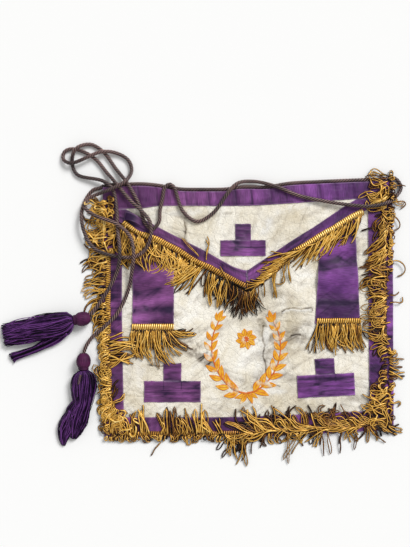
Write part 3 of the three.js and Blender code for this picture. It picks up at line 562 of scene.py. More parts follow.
def leather_material():
    # Lambskin, alum-tawed white, now yellowed and greyed: matt, dry, with scuffs, stains and fine creases
    material, tree, surface = new_material("tawed_lambskin_aged")
    place = add(tree, "ShaderNodeTexCoord")
    patches = add(
        tree, "ShaderNodeTexNoise",
        {"Vector": (place, "Object"), "Scale": 13.0, "Detail": 8.0, "Roughness": 0.68, "Distortion": 0.6},
    )
    base = add(
        tree, "ShaderNodeValToRGB", {"Fac": (patches, "Fac")},
        stops=[(0.3, "#D8CCB4"), (0.44, "#EFE7D5"), (0.56, "#FBF6EA"), (0.74, "#FFFDF8")],
    )
    stain = add(tree, "ShaderNodeAttribute", attribute_name="stain")
    # The deeper a stain or painted shade the darker it is: grey-brown, then painted shade nearly black in the
    # open cracks
    soil_and_shade = add(
        tree, "ShaderNodeValToRGB", {"Fac": (stain, "Fac")},
        stops=[(0.2, "#95897A"), (0.86, "#7C7062"), (1.0, "#30261D")],
    )
    stained_and_shaded = add(
        tree, "ShaderNodeMix", {"Factor": (stain, "Fac"), "A": (base, "Color"), "B": (soil_and_shade, "Color")},
        data_type="RGBA",
    )
    yellow = add(tree, "ShaderNodeTexNoise", {"Vector": (place, "Object"), "Scale": 21.0, "Detail": 4.0})
    yellow_mask = add(
        tree, "ShaderNodeMapRange",
        {"Value": (yellow, "Fac"), "From Min": 0.5, "From Max": 0.75, "To Max": 0.4},
    )
    yellowed = add(
        tree, "ShaderNodeMix",
        {"Factor": (yellow_mask, "Result"), "A": (stained_and_shaded, "Result"), "B": linear("#D8C79E")},
        data_type="RGBA",
    )
    scuff = add(tree, "ShaderNodeAttribute", attribute_name="scuff")
    scuffed_and_lit = add(
        tree, "ShaderNodeMix", {"Factor": (scuff, "Fac"), "A": (yellowed, "Result"), "B": linear("#F3F0E9")},
        data_type="RGBA",
    )
    # Grain of the skin: pores about 0.8 mm apart, drawn at 1.5 mm so that they show
    grain = add(tree, "ShaderNodeTexNoise", {"Vector": (place, "Object"), "Scale": 650.0, "Detail": 3.0})
    speckle = add(
        tree, "ShaderNodeMapRange",
        {"Value": (grain, "Fac"), "From Min": 0.3, "From Max": 0.7, "To Min": 0.87, "To Max": 1.12},
    )
    toned = add(
        tree, "ShaderNodeMix", {"Factor": 1.0, "A": (scuffed_and_lit, "Result"), "B": (speckle, "Result")},
        data_type="RGBA", blend_type="MULTIPLY",
    )
    # Fine creases, a centimetre or two apart
    crackle = add(
        tree, "ShaderNodeTexVoronoi",
        {"Vector": (place, "Object"), "Scale": 85.0},
        feature="DISTANCE_TO_EDGE",
    )
    crease = add(tree, "ShaderNodeMapRange", {"Value": (crackle, "Distance"), "From Max": 0.045})
    crease_bump = add(
        tree, "ShaderNodeBump", {"Height": (crease, "Result"), "Strength": 0.45, "Distance": 0.0008}
    )
    wrinkles = add(
        tree, "ShaderNodeTexNoise",
        {"Vector": (place, "Object"), "Scale": 42.0, "Detail": 6.0, "Roughness": 0.62, "Distortion": 0.5},
    )
    wrinkle_bump = add(
        tree, "ShaderNodeBump",
        {
            "Height": (wrinkles, "Fac"), "Strength": 0.8, "Distance": 0.004,
            "Normal": (crease_bump, "Normal"),
        },
    )
    grain_bump = add(
        tree, "ShaderNodeBump",
        {
            "Height": (grain, "Fac"), "Strength": 0.3, "Distance": 0.0004,
            "Normal": (wrinkle_bump, "Normal"),
        },
    )
    tree.links.new(toned.outputs["Result"], surface.inputs["Base Color"])
    tree.links.new(grain_bump.outputs["Normal"], surface.inputs["Normal"])
    surface.inputs["Roughness"].default_value = 0.82
    surface.inputs["Specular IOR Level"].default_value = 0.3
    return material


def ribbon_material():
    # Plain-woven silk ribbon, dyed purple: a slight sheen, faded in patches, with painted shade in its folds
    # and painted highlights
    material, tree, surface = new_material("woven_silk_ribbon_faded")
    place = add(tree, "ShaderNodeTexCoord")
    fade = add(tree, "ShaderNodeTexNoise", {"Vector": (place, "Object"), "Scale": 17.0, "Detail": 4.0})
    base = add(
        tree, "ShaderNodeValToRGB", {"Fac": (fade, "Fac")},
        stops=[(0.32, "#3C1C48"), (0.5, "#62346C"), (0.68, "#8C5098")],
    )
    # The right half has kept more of its blue
    apart = add(tree, "ShaderNodeSeparateXYZ", {"Vector": (place, "Object")})
    rightward = add(
        tree, "ShaderNodeMapRange", {"Value": (apart, "X"), "From Min": -0.06, "From Max": 0.12}
    )
    blue = add(
        tree, "ShaderNodeMix",
        {"Factor": (rightward, "Result"), "A": linear("#FFFFEE"), "B": linear("#F4ECFF")}, data_type="RGBA",
    )
    hued = add(
        tree, "ShaderNodeMix", {"Factor": 1.0, "A": (base, "Color"), "B": (blue, "Result")},
        data_type="RGBA", blend_type="MULTIPLY",
    )
    # Threads of the weave, 0.4 mm apart, drawn 1.2 mm apart so that they show
    stretch = add(tree, "ShaderNodeMapping", {"Vector": (place, "UV"), "Scale": (90.0, 1300.0, 1.0)})
    threads = add(tree, "ShaderNodeTexNoise", {"Vector": (stretch, "Vector"), "Scale": 1.0, "Detail": 2.0})
    streak = add(
        tree, "ShaderNodeMapRange",
        {"Value": (threads, "Fac"), "From Min": 0.3, "From Max": 0.7, "To Min": 0.62, "To Max": 1.35},
    )
    streaked = add(
        tree, "ShaderNodeMix", {"Factor": 1.0, "A": (hued, "Result"), "B": (streak, "Result")},
        data_type="RGBA", blend_type="MULTIPLY",
    )
    fold = add(tree, "ShaderNodeAttribute", attribute_name="fold")
    # Where the shade-and-shine value is below nothing the silk gets a painted satin highlight, as if it faced
    # the light
    shine = add(
        tree, "ShaderNodeMapRange",
        {"Value": (fold, "Fac"), "From Min": -1.0, "From Max": 0.0, "To Min": 1.75},
    )
    lit = add(
        tree, "ShaderNodeMix", {"Factor": 1.0, "A": (streaked, "Result"), "B": (shine, "Result")},
        data_type="RGBA", blend_type="MULTIPLY",
    )
    # Painted shade: the colour darkens towards deep purple as the shade-and-shine value rises
    fold_shaded = add(
        tree, "ShaderNodeMix",
        {"Factor": (fold, "Fac"), "A": (lit, "Result"), "B": linear("#260C36")},
        data_type="RGBA",
    )
    edge = add(tree, "ShaderNodeAttribute", attribute_name="worn")
    worn = add(
        tree, "ShaderNodeMix",
        {"Factor": (edge, "Fac"), "A": (fold_shaded, "Result"), "B": linear("#B496BC")},
        data_type="RGBA",
    )
    weave = add(tree, "ShaderNodeBump", {"Height": (threads, "Fac"), "Strength": 0.5, "Distance": 0.0008})
    tree.links.new(worn.outputs["Result"], surface.inputs["Base Color"])
    tree.links.new(weave.outputs["Normal"], surface.inputs["Normal"])
    surface.inputs["Roughness"].default_value = 0.55
    surface.inputs["Specular IOR Level"].default_value = 0.3
    return material


# Places where the leather is stained dark or scuffed pale: x, y, turn in degrees, reach along, reach across
# and depth. Some dark rows are painted shadows: of soft folds in the leather, and in the gaps at the
# ornaments' joints
BODY_STAINS_AND_SHADOWS = [
    (-72, -58, -28, 42, 11, 0.62), (-62, -70, -30, 44, 8, 0.72), (20, -30, -40, 16, 10, 0.45),
    (-50, 8, -12, 40, 10, 0.3), (60, -95, 0, 22, 7, 0.5), (15, -98, 15, 28, 12, 0.5),
    (30, -60, 80, 30, 9, 0.35), (-105, -8, 0, 20, 6, 0.3), (95, -20, 0, 12, 4, 0.35),
    (-165, -60, 90, 60, 8, 0.3), (150, 60, 88, 70, 7, 0.4), (45, 25, -30, 35, 10, 0.25),
    (-30, 20, -20, 40, 10, 0.35), (0, 15, 0, 30, 12, 0.45), (55, -35, 12, 44, 18, 0.33),
    (40, -72, -20, 34, 12, 0.3), (-20, -20, 10, 60, 7, 0.25), (62, 8, 0, 30, 5, 0.3),
    (-130, -150, 0, 60, 6, 0.3), (60, -148, 3, 90, 5, 0.3), (55, -36, 0, 34, 30, 0.55),
    (110, -120, 6, 90, 30, 0.25), (20, -20, -50, 12, 6, 0.7), (30, -52, -30, 30, 8, 0.45),
    (-20, -138, 0, 60, 10, 0.2), (48, -38, 6, 40, 11, 0.5), (40, -8, 0, 40, 8, 0.4),
    (75, -22, 20, 18, 8, 0.45), (-105, -100.4, 0, 9, 1.4, 1.6), (108.5, -90.9, 3, 10, 1.4, 1.6),
]
BODY_SCUFFS = [
    (22, -50, 75, 45, 6, 0.8), (28, -100, 20, 14, 6, 0.8), (38, -115, 0, 16, 5, 0.7),
    (95, -120, 8, 24, 5, 0.6), (-150, -85, 90, 30, 8, 0.5), (70, 0, -8, 20, 4, 0.6),
    (15, -105, 60, 16, 4, 0.9),
]
FLAP_STAINS_AND_SHADOWS = [
    (-87, 112, 88, 26, 3, 0.5), (-60, 128, 10, 26, 5, 0.3), (-20, 134, 0, 16, 3, 0.45),
    (50, 130, 20, 40, 6, 0.25), (30, 60, 35, 34, 5, 0.3), (95, 135, 24, 40, 4, 0.3),
    (-75, 90, -24, 40, 4, 0.35), (10, 118, 70, 22, 4, 0.3), (-20, 75, 0, 30, 3, 0.4),
    (-6.5, 96.1, 0, 8, 1.4, 1.6),
]
FLAP_SCUFFS = [
    (25, 115, 60, 16, 7, 0.9), (-90, 135, 5, 34, 5, 0.5), (75, 145, 18, 50, 5, 0.6),
    (90, 160, 10, 40, 8, 0.5), (-5, 68, 0, 22, 4, 0.6), (-45, 80, -25, 24, 5, 0.5),
]


def marks(x, y, table, seed):
    """How strong the marks are at each place: each fades from its middle, and noise breaks up its outline."""
    strength = np.zeros(np.shape(x))
    ragged = noise(x, y, 7, seed) + 0.6 * noise(x, y, 2.6, seed + 1)
    for cx, cy, turn, reach_along, reach_across, depth in table:
        along, across = on_axes(x, y, cx, cy, turn)
        inside = 1.3 - np.hypot(along / reach_along, across / reach_across)
        strength = np.maximum(strength, depth * smooth(inside * 1.2) * smooth(ragged * 1.6 - 0.5))
    return strength


def creases(x, y, turn, size, seed):
    """Fine creases from 0 to 1, much longer than wide, that run at an angle of turn degrees and fade out."""
    along, across = on_axes(x, y, 0, 0, turn)
    lines = ridges(along * 0.13, across, size, seed)
    return lines * smooth(3.5 * noise(x, y, 26, seed + 1) - 1.4)


# Cracks in the leather: each a line of places, and how far its lower side stands up
CRACKS = [
    ([(47, -3.5), (53, -0.5), (59, 1.5), (66, 1), (74, -0.5), (85, 1.5), (89, 1.5), (90, -3)], 1.8),
    ([(60, -38), (66, -36.5), (74, -36)], 0.8),
    ([(-89, 124), (-86, 112), (-88, 100), (-86, 92)], 0.6),
    ([(22, -22), (20, -38), (24, -52), (21, -66), (26, -80), (24, -98), (33, -106), (46, -108)], 0.8),
    ([(-140, -78), (-122, -80), (-104, -76)], 0.4),
]


def crack(x, y):
    """Nearness to a crack from 0 to 1 within about a millimetre of it, and the rise of its lifted side."""
    near = np.zeros(np.shape(x))
    rise = np.zeros(np.shape(x))
    for line, height in CRACKS:
        for (ax, ay), (bx, by) in zip(line, line[1:]):
            span = math.hypot(bx - ax, by - ay)
            t = ((x - ax) * (bx - ax) + (y - ay) * (by - ay)) / span**2
            on = (t > -0.02) & (t < 1.02)
            across = ((x - ax) * (by - ay) - (y - ay) * (bx - ax)) / span
            across = across + 1.2 * (noise(x, y, 4, 71) - 0.5)
            near = np.maximum(near, on * bell(across, 0.8 + 0.4 * height))
            side = bell(np.maximum(across, 0), 4.0) * (across > 0)
            rise = np.maximum(rise, on * side * height)
    return near, rise


# The leather's grids: cells of the under side between foot and waist and between the sides, and how many
# cells of the upper side each one spans both ways; then the widths that the grids start from
BODY_GRID = (43, 50, 6)
FLAP_GRID = (20, 70, 4)
BODY_WIDTH = 402
FLAP_HALF_WIDTH = 200.5


def shares(rows, columns, first=0):
    """Shares of a grid: from first to 1 along each row, and from 0 to 1 down each column."""
    return np.linspace(first, 1, columns)[None, :], np.linspace(0, 1, rows)[:, None]


def add_leather(material):
    rows, columns, coarse = BODY_GRID
    u, v = shares(rows * coarse + 1, columns * coarse + 1)
    x = (u - 0.5) * BODY_WIDTH + 0 * v
    low_y = bottom_edge(x) + INSIDE_LIP
    y = low_y + (top_edge(x) - INSIDE_LIP - low_y) * v
    left = left_edge(y) + INSIDE_LIP
    x = left + (right_edge(y) - INSIDE_LIP - left) * u
    near, rise = crack(x, y)
    under = raised(x, y)
    fine = np.maximum(creases(x, y, -12, 7, 25), creases(x, y, 35, 6, 27))
    high = under + BODY_TOP + rise - 0.6 * near - 0.35 * fine
    points, faces = closed_sheet(x, y, under, high, coarse)
    # Painted shade in the cracks and fine creases, added to the stains and painted fold shadows
    stain = np.clip(marks(x, y, BODY_STAINS_AND_SHADOWS, 21) * (1 - near) + near + 0.4 * fine, 0, 1)
    # Painted highlight along each crack's lifted side, with the pale scuffs
    scuff = np.maximum(marks(x, y, BODY_SCUFFS, 23), smooth(rise - 0.5)) * (1 - near)
    body = leather_piece("body_leather", points, faces, material, x.size, stain, scuff)
    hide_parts("apron_panel")

    rows, columns, coarse = FLAP_GRID
    u, v = shares(rows * coarse + 1, columns * coarse + 1, -1)
    reach = np.where(u < 0, FLAP_HALF_WIDTH + FLAP_TIP_X, FLAP_HALF_WIDTH - FLAP_TIP_X)
    x = FLAP_TIP_X + u * reach + 0 * v
    low_y = flap_edge(x) + GAP
    y = low_y + (top_edge(x) - INSIDE_LIP - low_y) * v
    near, rise = crack(x, y)
    under = raised(x, y)
    fine = np.where(x > 20, creases(x, y, 28, 6, 35), creases(x, y, -20, 7, 37))
    fine = np.maximum(fine, 0.8 * creases(x, y, 70, 8, 39))
    high = under + FLAP_TOP + rise - 0.6 * near - 0.35 * fine
    points, faces = closed_sheet(x, y, under + FLAP_LOW, high, coarse)
    # Painted shade in the cracks and fine creases, added to the stains and painted shadows
    stain = np.clip(marks(x, y, FLAP_STAINS_AND_SHADOWS, 31) + 0.7 * near + 0.42 * fine, 0, 1)
    scuff = marks(x, y, FLAP_SCUFFS, 33) * (1 - near)
    flap = leather_piece("flap_leather", points, faces, material, x.size, stain, scuff)
    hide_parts("flap_panel")


def leather_piece(name, points, faces, material, upper_count, stain, scuff):
    """Leather with its marks on the upper side only, whose points come first."""
    clean = np.zeros(len(points) - upper_count)
    attributes = {
        "stain": np.concatenate([stain.ravel(), clean]), "scuff": np.concatenate([scuff.ravel(), clean]),
    }
    return mesh_piece(name, points, faces, material, attributes=attributes, sharp=60)


# The least thickness of a ribbon, at its rolled border
THINNEST = 0.35


def ribbon_sheet(name, x, y, low, top, material, dark, bulge=0.0, streaks=0.1):
    """Ribbon over a grid: its upper side rolls down at the border, bulge raises it, dark is painted shade in
    its folds and painted highlight where it is below nothing.
    """
    border, across, along = edge_distance(x, y)
    roll = 0.35 * np.clip(1 - border / 1.4, 0, 1) ** 2
    base = raised(x, y)
    high = base + top + bulge - roll
    under = base + low
    points, faces = closed_sheet(x, y, under, np.maximum(high, under + THINNEST))
    # Painted shade in fine creases, and painted highlights in soft patches where the value falls below
    # nothing
    fold = dark + 0.4 * ridges(x, y, 9, 41) * soft_patches(x, y, 30, 42, 1)
    fold = np.clip(fold - 0.35 * soft_patches(x, y, 17, 46, 1.2), -1, 1) + 0 * x
    worn = 0.6 * np.clip(1 - border / 1.5, 0, 1) * noise(x, y, 5, 43)
    worn = np.maximum(worn, streaks * ridges(x * 0.3, y, 5, 44) * soft_patches(x, y, 24, 45, 1.3))
    flipped = points[0, 0] != x[0, 0]
    if flipped:
        fold, worn, across, along = fold[:, ::-1], worn[:, ::-1], across[:, ::-1], along[:, ::-1]
    attributes = {"fold": both_sides(fold), "worn": both_sides(worn)}
    uv = np.stack([both_sides(across), both_sides(along)], axis=1)
    return mesh_piece(name, points, faces, material, uv=uv, attributes=attributes, sharp=50)


def pleats(s, table):
    """Folds across a ribbon: (bulge, dark) where each table row is (place, width, depth); dark is painted
    shade in each fold and beside it.
    """
    bulge = 0.0 * s
    dark = 0.0 * s
    for place, width, depth in table:
        puff = bell(s - place - 2.4 * width, 1.6 * width)
        bulge = bulge - depth * bell(s - place, width) + 0.5 * depth * puff
        dark = dark + 0.8 * depth * bell(s - place, 0.6 * width)
        dark = dark + 0.25 * depth * bell(s - place + 1.5 * width, 1.5 * width)
    return bulge, dark


# Upright folds of the band: place along it, width, depth
BAND_FOLDS = [
    (-152, 2, 0.8), (-126, 2.2, 1.0), (-112, 1.5, 0.5), (-86, 2.4, 0.9), (-72, 1.6, 0.6), (-54, 2, 0.7),
    (-44, 1.6, 0.5), (-16, 2.2, 0.8), (6, 2.2, 0.9), (33, 1.6, 0.6), (54, 1.8, 0.6), (80, 1.8, 0.7),
    (102, 2.2, 0.8), (124, 1.8, 0.5), (148, 2, 0.7), (170, 1.6, 0.5),
]


# The band: its half length, depth, the seam's distance from its lower edge, and points along it
BAND_REACH = 202
BAND_DEPTH = 27
BAND_SEAM = 3.0
BAND_ROWS = 300

# The borders: where each lower corner lies, a height near the waist, points along a side and the bottom
LEFT_CORNER_Y = -179
RIGHT_CORNER_Y = -169.5
NEAR_WAIST_Y = 170
SIDE_ROWS = 270
BOTTOM_ROWS = 260

# How high the turned-down lip ends over the surface
LIP_FLOOR = 0.05


def across_lip(width, step):
    """Distances across a ribbon whose outer edge turns down: close together over the lip, then even."""
    inner = np.linspace(LIP + 0.8, width, max(3, int(round((width - LIP) / step))))
    return np.concatenate([[0, 0.35, LIP, LIP + 0.05], inner])


def lip_low(x, y, distance, low):
    """The under side at each distance from the folded edge: down to the surface within the lip."""
    fold_shaded = distance <= LIP
    return np.where(fold_shaded, LIP_FLOOR, low) - raised(x, y) * fold_shaded


def add_band_and_borders(material):
    # Waist band: upright folds, a seam near its lower edge, painted shade at its left end, in the seam and in
    # the folds, and painted highlights in soft patches
    x = np.linspace(-BAND_REACH, BAND_REACH, BAND_ROWS)[:, None]
    share = across_lip(BAND_DEPTH, 1.4)[None, :] / BAND_DEPTH
    y = top_edge(x) + (band_lower(x) - top_edge(x)) * share
    x = x + 0 * share
    distance = BAND_DEPTH * share + 0 * x
    bulge, dark = pleats(x + 0.12 * (y - 155), BAND_FOLDS)
    dark = dark + 0.4 * smooth((-172 - x) / 22)
    dark = dark + 0.55 * (noise(x, y * 0.12, 4, 65) - 0.45)
    seam = bell((1 - share) * BAND_DEPTH - BAND_SEAM, 0.5) + 0 * x
    inside = smooth(distance / 3)
    low = lip_low(x, y, distance, UPPER_LOW)
    # dark paints shade in the folds and the seam; the soft patches taken from it paint highlights
    band = ribbon_sheet(
        "waist_band", x, y, low, UPPER_TOP, material, bulge=(bulge - 0.35 * seam) * inside,
        dark=np.clip(dark + 0.5 * seam - 0.3 * soft_patches(x, 0 * y, 13, 64, 1.2), -0.6, 0.85),
    )
    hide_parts("top_band")

    # Side borders: name, edge, width, which way is inward, lower corner, seed
    sides = [
        ("left", left_edge, LEFT_BORDER, 1, LEFT_CORNER_Y, 51),
        ("right", right_edge, RIGHT_BORDER, -1, RIGHT_CORNER_Y, 52),
    ]
    for side, edge, width, inward, corner_y, seed in sides:
        mm = across_lip(width, 1.5)[None, :]
        foot = bottom_edge(edge(corner_y)) + GAP + mm * BOTTOM_BORDER / width
        head = top_edge(edge(NEAR_WAIST_Y) + inward * mm) - INSIDE_LIP
        t = np.linspace(0, 1, SIDE_ROWS)[:, None]
        y = foot + (head - foot) * t
        x = edge(y) + inward * mm
        distance = mm + 0 * y
        bulge = 0.9 * noise(x * 0.25, y, 5, seed) * smooth(distance / 4)
        # Painted shade along crosswise creases, less soft patches of painted highlight, and tone that differs
        # at random
        dark = 0.9 * ridges(x * 0.2, y, 9, seed + 4) + 0.7 * ridges(x * 0.15, y, 4, seed + 6)
        dark = dark - 0.7 * soft_patches(x * 0.15, y, 5, seed + 8, 1.5)
        dark = dark + 0.9 * (noise(x * 0.1, y, 2.4, seed + 9) - 0.45)
        low = lip_low(x, y, distance, LOWER_LOW)
        piece = ribbon_sheet(f"border_ribbon_{side}", x, y, low, LOWER_TOP, material, bulge=bulge, dark=dark)
        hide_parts(f"border_{side}")

    # Bottom border, mitred between the two sides
    mm = across_lip(BOTTOM_BORDER, 1.5)[None, :]
    start = left_edge(LEFT_CORNER_Y) + 3 * GAP + mm * LEFT_BORDER / BOTTOM_BORDER
    end = right_edge(RIGHT_CORNER_Y) - 3 * GAP - mm * RIGHT_BORDER / BOTTOM_BORDER
    t = np.linspace(0, 1, BOTTOM_ROWS)[:, None]
    x = start + (end - start) * t
    y = bottom_edge(x) + mm
    distance = mm + 0 * x
    bulge = 0.6 * noise(x, y * 0.25, 8, 61) * smooth(distance / 4)
    # Painted shade along crosswise creases, less soft patches of painted highlight, and tone that differs at
    # random
    dark = 0.9 * ridges(x, y * 0.2, 10, 62) + 0.6 * ridges(x * 0.3, y, 5, 63)
    dark = dark - 0.6 * soft_patches(x, y * 0.15, 6, 68, 1.5)
    dark = dark + 0.8 * (noise(x, y * 0.1, 2.4, 69) - 0.45)
    low = lip_low(x, y, distance, LOWER_LOW)
    piece = ribbon_sheet("border_ribbon_bottom", x, y, low, LOWER_TOP, material, bulge=bulge, dark=dark)
    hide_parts("border_bottom")


# The flap's ribbon arms: side, start, end, seed; points along and across; millimetres of slope to one in x
FLAP_ARMS = [("left", -201, FLAP_TIP_X - GAP, 81), ("right", FLAP_TIP_X + GAP, 180, 82)]
ARM_GRID = (160, 14)
ARM_SLOPE = 1.15


def add_flap_ribbons(material):
    for side, start, end, seed in FLAP_ARMS:
        x = np.linspace(start, end, ARM_GRID[0])[:, None]
        share = np.linspace(0, 1, ARM_GRID[1])[None, :]
        low_y = flap_edge(x)
        high_y = np.minimum(read_table(FLAP_RIBBON_INNER, x), band_lower(x) - 2 * GAP)
        y = low_y + (high_y - low_y) * share
        x = x + 0 * share
        along = (x - start) * ARM_SLOPE
        pulled = ridges(along * 0.12, share * 36 + 0 * x, 6, seed)
        bulge = 0.8 * noise(along * 0.2, share * 24, 5, seed) - 0.5 * pulled
        # Painted shade along the pulled creases, less soft patches of painted highlight, and tone that
        # differs at random
        dark = 1.3 * pulled * smooth(4 * noise(along, share, 40, seed + 1) - 0.6)
        dark = dark - 0.9 * soft_patches(along * 0.12, share * 34, 5, seed + 3, 1.5)
        dark = dark + 0.7 * (noise(along * 0.06, share * 16, 2.2, seed + 5) - 0.45)
        # Dark in the mitre at the tip, and puffed up beside the twisted fold, with painted shade there
        dark = dark + 0.9 * bell(x - FLAP_TIP_X, 1.6)
        if side == "left":
            bulge = bulge + 2.2 * bell(x + 152, 8) * np.sin(np.pi * share)
            dark = dark + 0.85 * bell(x + 163, 13) + 0.6 * bell(x + 141, 7)
        piece = ribbon_sheet(
            f"flap_ribbon_{side}_arm", x, y, UPPER_LOW, UPPER_TOP, material, bulge=bulge, dark=dark
        )
        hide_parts(f"flap_ribbon_{side}")
        folds = [add_ribbon_fold(material)] if side == "left" else []


# The turned-over end of the left arm: where it starts, and points across and along it
FOLD_CORNER = (-173, 124)
FOLD_GRID = (12, 40)


def add_ribbon_fold(material):
    """The flap ribbon's outer end, turned over on itself: an arch of ribbon that stands up and is open below.

    Its height over the ribbon is 6 (sin pi u)^0.7 (1 - 0.35 v), u along the arch and v from 0 to 1 across it.
    """
    u, v = shares(*FOLD_GRID)
    corner_x, corner_y = FOLD_CORNER
    x = corner_x + 27 * u + 3 * v
    y = corner_y - 10 * u + 3 * np.sin(np.pi * u) + (12 - 5 * u) * v
    arch = 6 * np.sin(np.pi * np.clip(u, 0.01, 0.99)) ** 0.7 * (1 - 0.35 * v)
    # Painted shade in the hollow under the arch, lighter near its end, and a painted highlight along its far
    # edge
    dark = 0.95 - 0.5 * bell(u - 0.72, 0.14) - 1.4 * bell(v - 1, 0.1) * (u > 0.35)
    low = UPPER_TOP + 0.1 + 0.85 * arch
    top = UPPER_TOP + 0.9 + arch
    return ribbon_sheet("flap_ribbon_left_fold", x, y, low, top, material, dark=dark)


# Ornaments: name, x, y, turn, upright's width and height, bar's width and height, under side, top
ORNAMENTS = [
    ("flap", -6.5, 96, 0, (22, 23), (63, 22), UPPER_LOW, UPPER_TOP),
    ("left", -105, -100.5, 0, (25, 25), (79, 29.5), LOWER_LOW, LOWER_TOP),
    ("right", 108.5, -91, 3, (27, 22), (80, 31), LOWER_LOW, LOWER_TOP),
]


# Steps of an ornament's grid along and down, and how far below its joint the bar's seam runs
ORNAMENT_STEPS = (1.2, 1.1)
BAR_SEAM = 13


def add_ornaments(material):
    for number, (name, cx, cy, turn, upright, bar, low, top) in enumerate(ORNAMENTS):
        c, s = turning(turn)
        plates = [("upright", upright[0], GAP, upright[1]), ("bar", bar[0], -bar[1], 0)]
        for part, width, start, end in plates:
            a = np.linspace(-width / 2, width / 2, int(width / ORNAMENT_STEPS[0]))[None, :]
            b = np.linspace(start, end, int((end - start) / ORNAMENT_STEPS[1]))[:, None]
            ragged = 0.8 * (noise(a, b, 5, 91 + number) - 0.5)
            x = cx + a * c - b * s + ragged * 0.7
            y = cy + a * s + b * c + ragged
            folds = ridges(a * 0.12, b + 0 * a, 6, 95 + number)
            on_bar = part == "bar"
            seam = bell(b + BAR_SEAM, 0.6) * on_bar * (np.abs(a) < upright[0] * 0.62)
            edge_seam = bell(np.abs(a) - upright[0] / 2, 0.6) * on_bar * (b > -BAR_SEAM)
            # Painted shade in the creases, dark seams, less soft patches of painted highlight, and tone that
            # differs at random
            dark = 1.1 * folds + 0.9 * np.maximum(seam, edge_seam)
            dark = dark + 0.7 * ridges(a * 0.08, b + 0 * a, 3.5, 197 + number)
            dark = dark - 0.8 * soft_patches(a * 0.12, b, 4, 297 + number, 1.4)
            dark = dark + 0.7 * (noise(a * 0.06, b, 2.4, 397 + number) - 0.45)
            bulge = 0.45 * noise(a * 0.2, b, 4, 97 + number) - 0.3 * folds
            piece = ribbon_sheet(
                f"{name}_ornament_ribbon_{part}", x, y, low, top, material, bulge=bulge, dark=dark,
                streaks=0.15,
            )
            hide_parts(f"{name}_ornament_{part}")


# Points along and across a tab
TAB_GRID = (110, 36)

# Tabs: side, corners at the top and at the low end, humps across as (y, half length, rise), and bands of
# painted shade as (y, reach, depth), where a negative depth is a painted satin highlight
TABS = [
    (
        "left", ((-160, 124), (-103, 98)), ((-161, -29), (-103, -29)),
        [(44, 22, 3.0), (-14, 12, 1.6)],
        [
            (50, 9, -0.9), (36, 7, -0.7), (26.5, 2.2, 0.4), (22, 6, 0.35), (11, 4, -0.35), (1, 6, 0.65),
            (-11, 6, -0.5), (-23, 3, 0.3), (86, 8, 0.5),
        ],
    ),
    (
        "right", ((102, 115), (149, 144)), ((94, -20), (157, -20)),
        [(42, 24, 4.0), (82, 12, 1.6)],
        [
            (66, 6, 0.8), (57.5, 2, 0.8), (45, 10, -1.7), (29, 8, -1.3), (10, 5, 1.0), (-6, 8, 0.45),
            (88, 12, -1.3), (102, 8, 0.5),
        ],
    ),
]


def add_tabs(material):
    for number, (side, top_ends, low_ends, humps, shades) in enumerate(TABS):
        share, t = shares(*TAB_GRID)
        low, top = [
            [start + (end - start) * share for start, end in zip(*ends)] for ends in (low_ends, top_ends)
        ]
        x, y = [foot + (head - foot) * t for foot, head in zip(low, top)]
        slant = y - 0.08 * (x - low_ends[0][0])
        bulge = 0.5 * noise(x * 0.4, y, 9, 101 + number)
        for place, reach, rise in humps:
            bulge = bulge + rise * np.maximum(0, 1 - ((slant - place) / reach) ** 2) ** 2
        under_flap = smooth((y - flap_edge(x) + 6) / 6)
        bulge = (bulge - 0.5 * creases(x, y, -32, 9, 113 + number)) * (1 - under_flap)
        # Painted shade in the creases and the table's bands, and painted highlight where a band's depth is
        # below nothing
        dark = 0.45 * ridges(x * 0.5, y, 16, 103 + number)
        dark = dark + 0.6 * creases(x, y, -32, 9, 113 + number) + 0.5 * creases(x, y, 40, 8, 115 + number)
        for place, reach, depth in shades:
            dark = dark + depth * bell(slant - place + 5 * noise(x, y, 20, 117), reach)
        low = LOWER_LOW + 0.9 * np.maximum(bulge - 0.5, 0)
        piece = ribbon_sheet(f"tab_ribbon_{side}", x, y, low, LOWER_TOP, material, bulge=bulge, dark=dark)
        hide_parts(f"tab_{side}")


# Fringe: the radius of a twisted strand and of one thread of an open loop, and the points along each; then
# how far apart the ribs of a sewn head are, and the steps along it
STRAND = 1.3
LOOP_THREAD = 0.9
STRAND_STEPS = 16
LOOP_STEPS = 11
HEADER_PITCH = 3.0
HEADER_STEP = 0.42

# Painted light on a thread: how much darker it is painted on its right, crown, left and under side (the crown
# lighter, a painted highlight), and how much painted shade it gets where it lies deepest
SIDE_SHADE = np.array([0.6, -0.42, 0.68, 0.95])
DEEP_SHADE = 1.15

# The height map that strands are laid on: one value per square millimetre, from this corner
MAP_CORNER = (-290, -240)
MAP_SIZE = (560, 500)

# How far a cord's maps reach to its sides, the value where there is no cord, and the room that strands need
# to run under one
CORD_MAP_REACH = 4
NO_CORD = 99.0
ROOM_UNDER = 2.6


def layer_top(x, y):
    """Height of the uppermost layer at each place, and nothing beyond the body's edges."""
    inside = (x > left_edge(y)) & (x < right_edge(y)) & (y > bottom_edge(x)) & (y < top_edge(x))
    border = (x < left_edge(y) + LEFT_BORDER) | (x > right_edge(y) - RIGHT_BORDER)
    border = border | (y < bottom_edge(x) + BOTTOM_BORDER)
    top = np.where(border, LOWER_TOP, BODY_TOP)
    for _, _, low_ends, _, _ in TABS:
        in_tab = (x > low_ends[0][0]) & (x < low_ends[1][0]) & (y > low_ends[0][1])
        top = np.where(in_tab, LOWER_TOP, top)
    flap = y > flap_edge(x)
    ribbon = (flap & (y < read_table(FLAP_RIBBON_INNER, x))) | (y > band_lower(x))
    top = np.where(flap, FLAP_TOP, top)
    top = np.where(ribbon, UPPER_TOP, top)
    return np.where(inside, top + raised(x, y), 0.0)


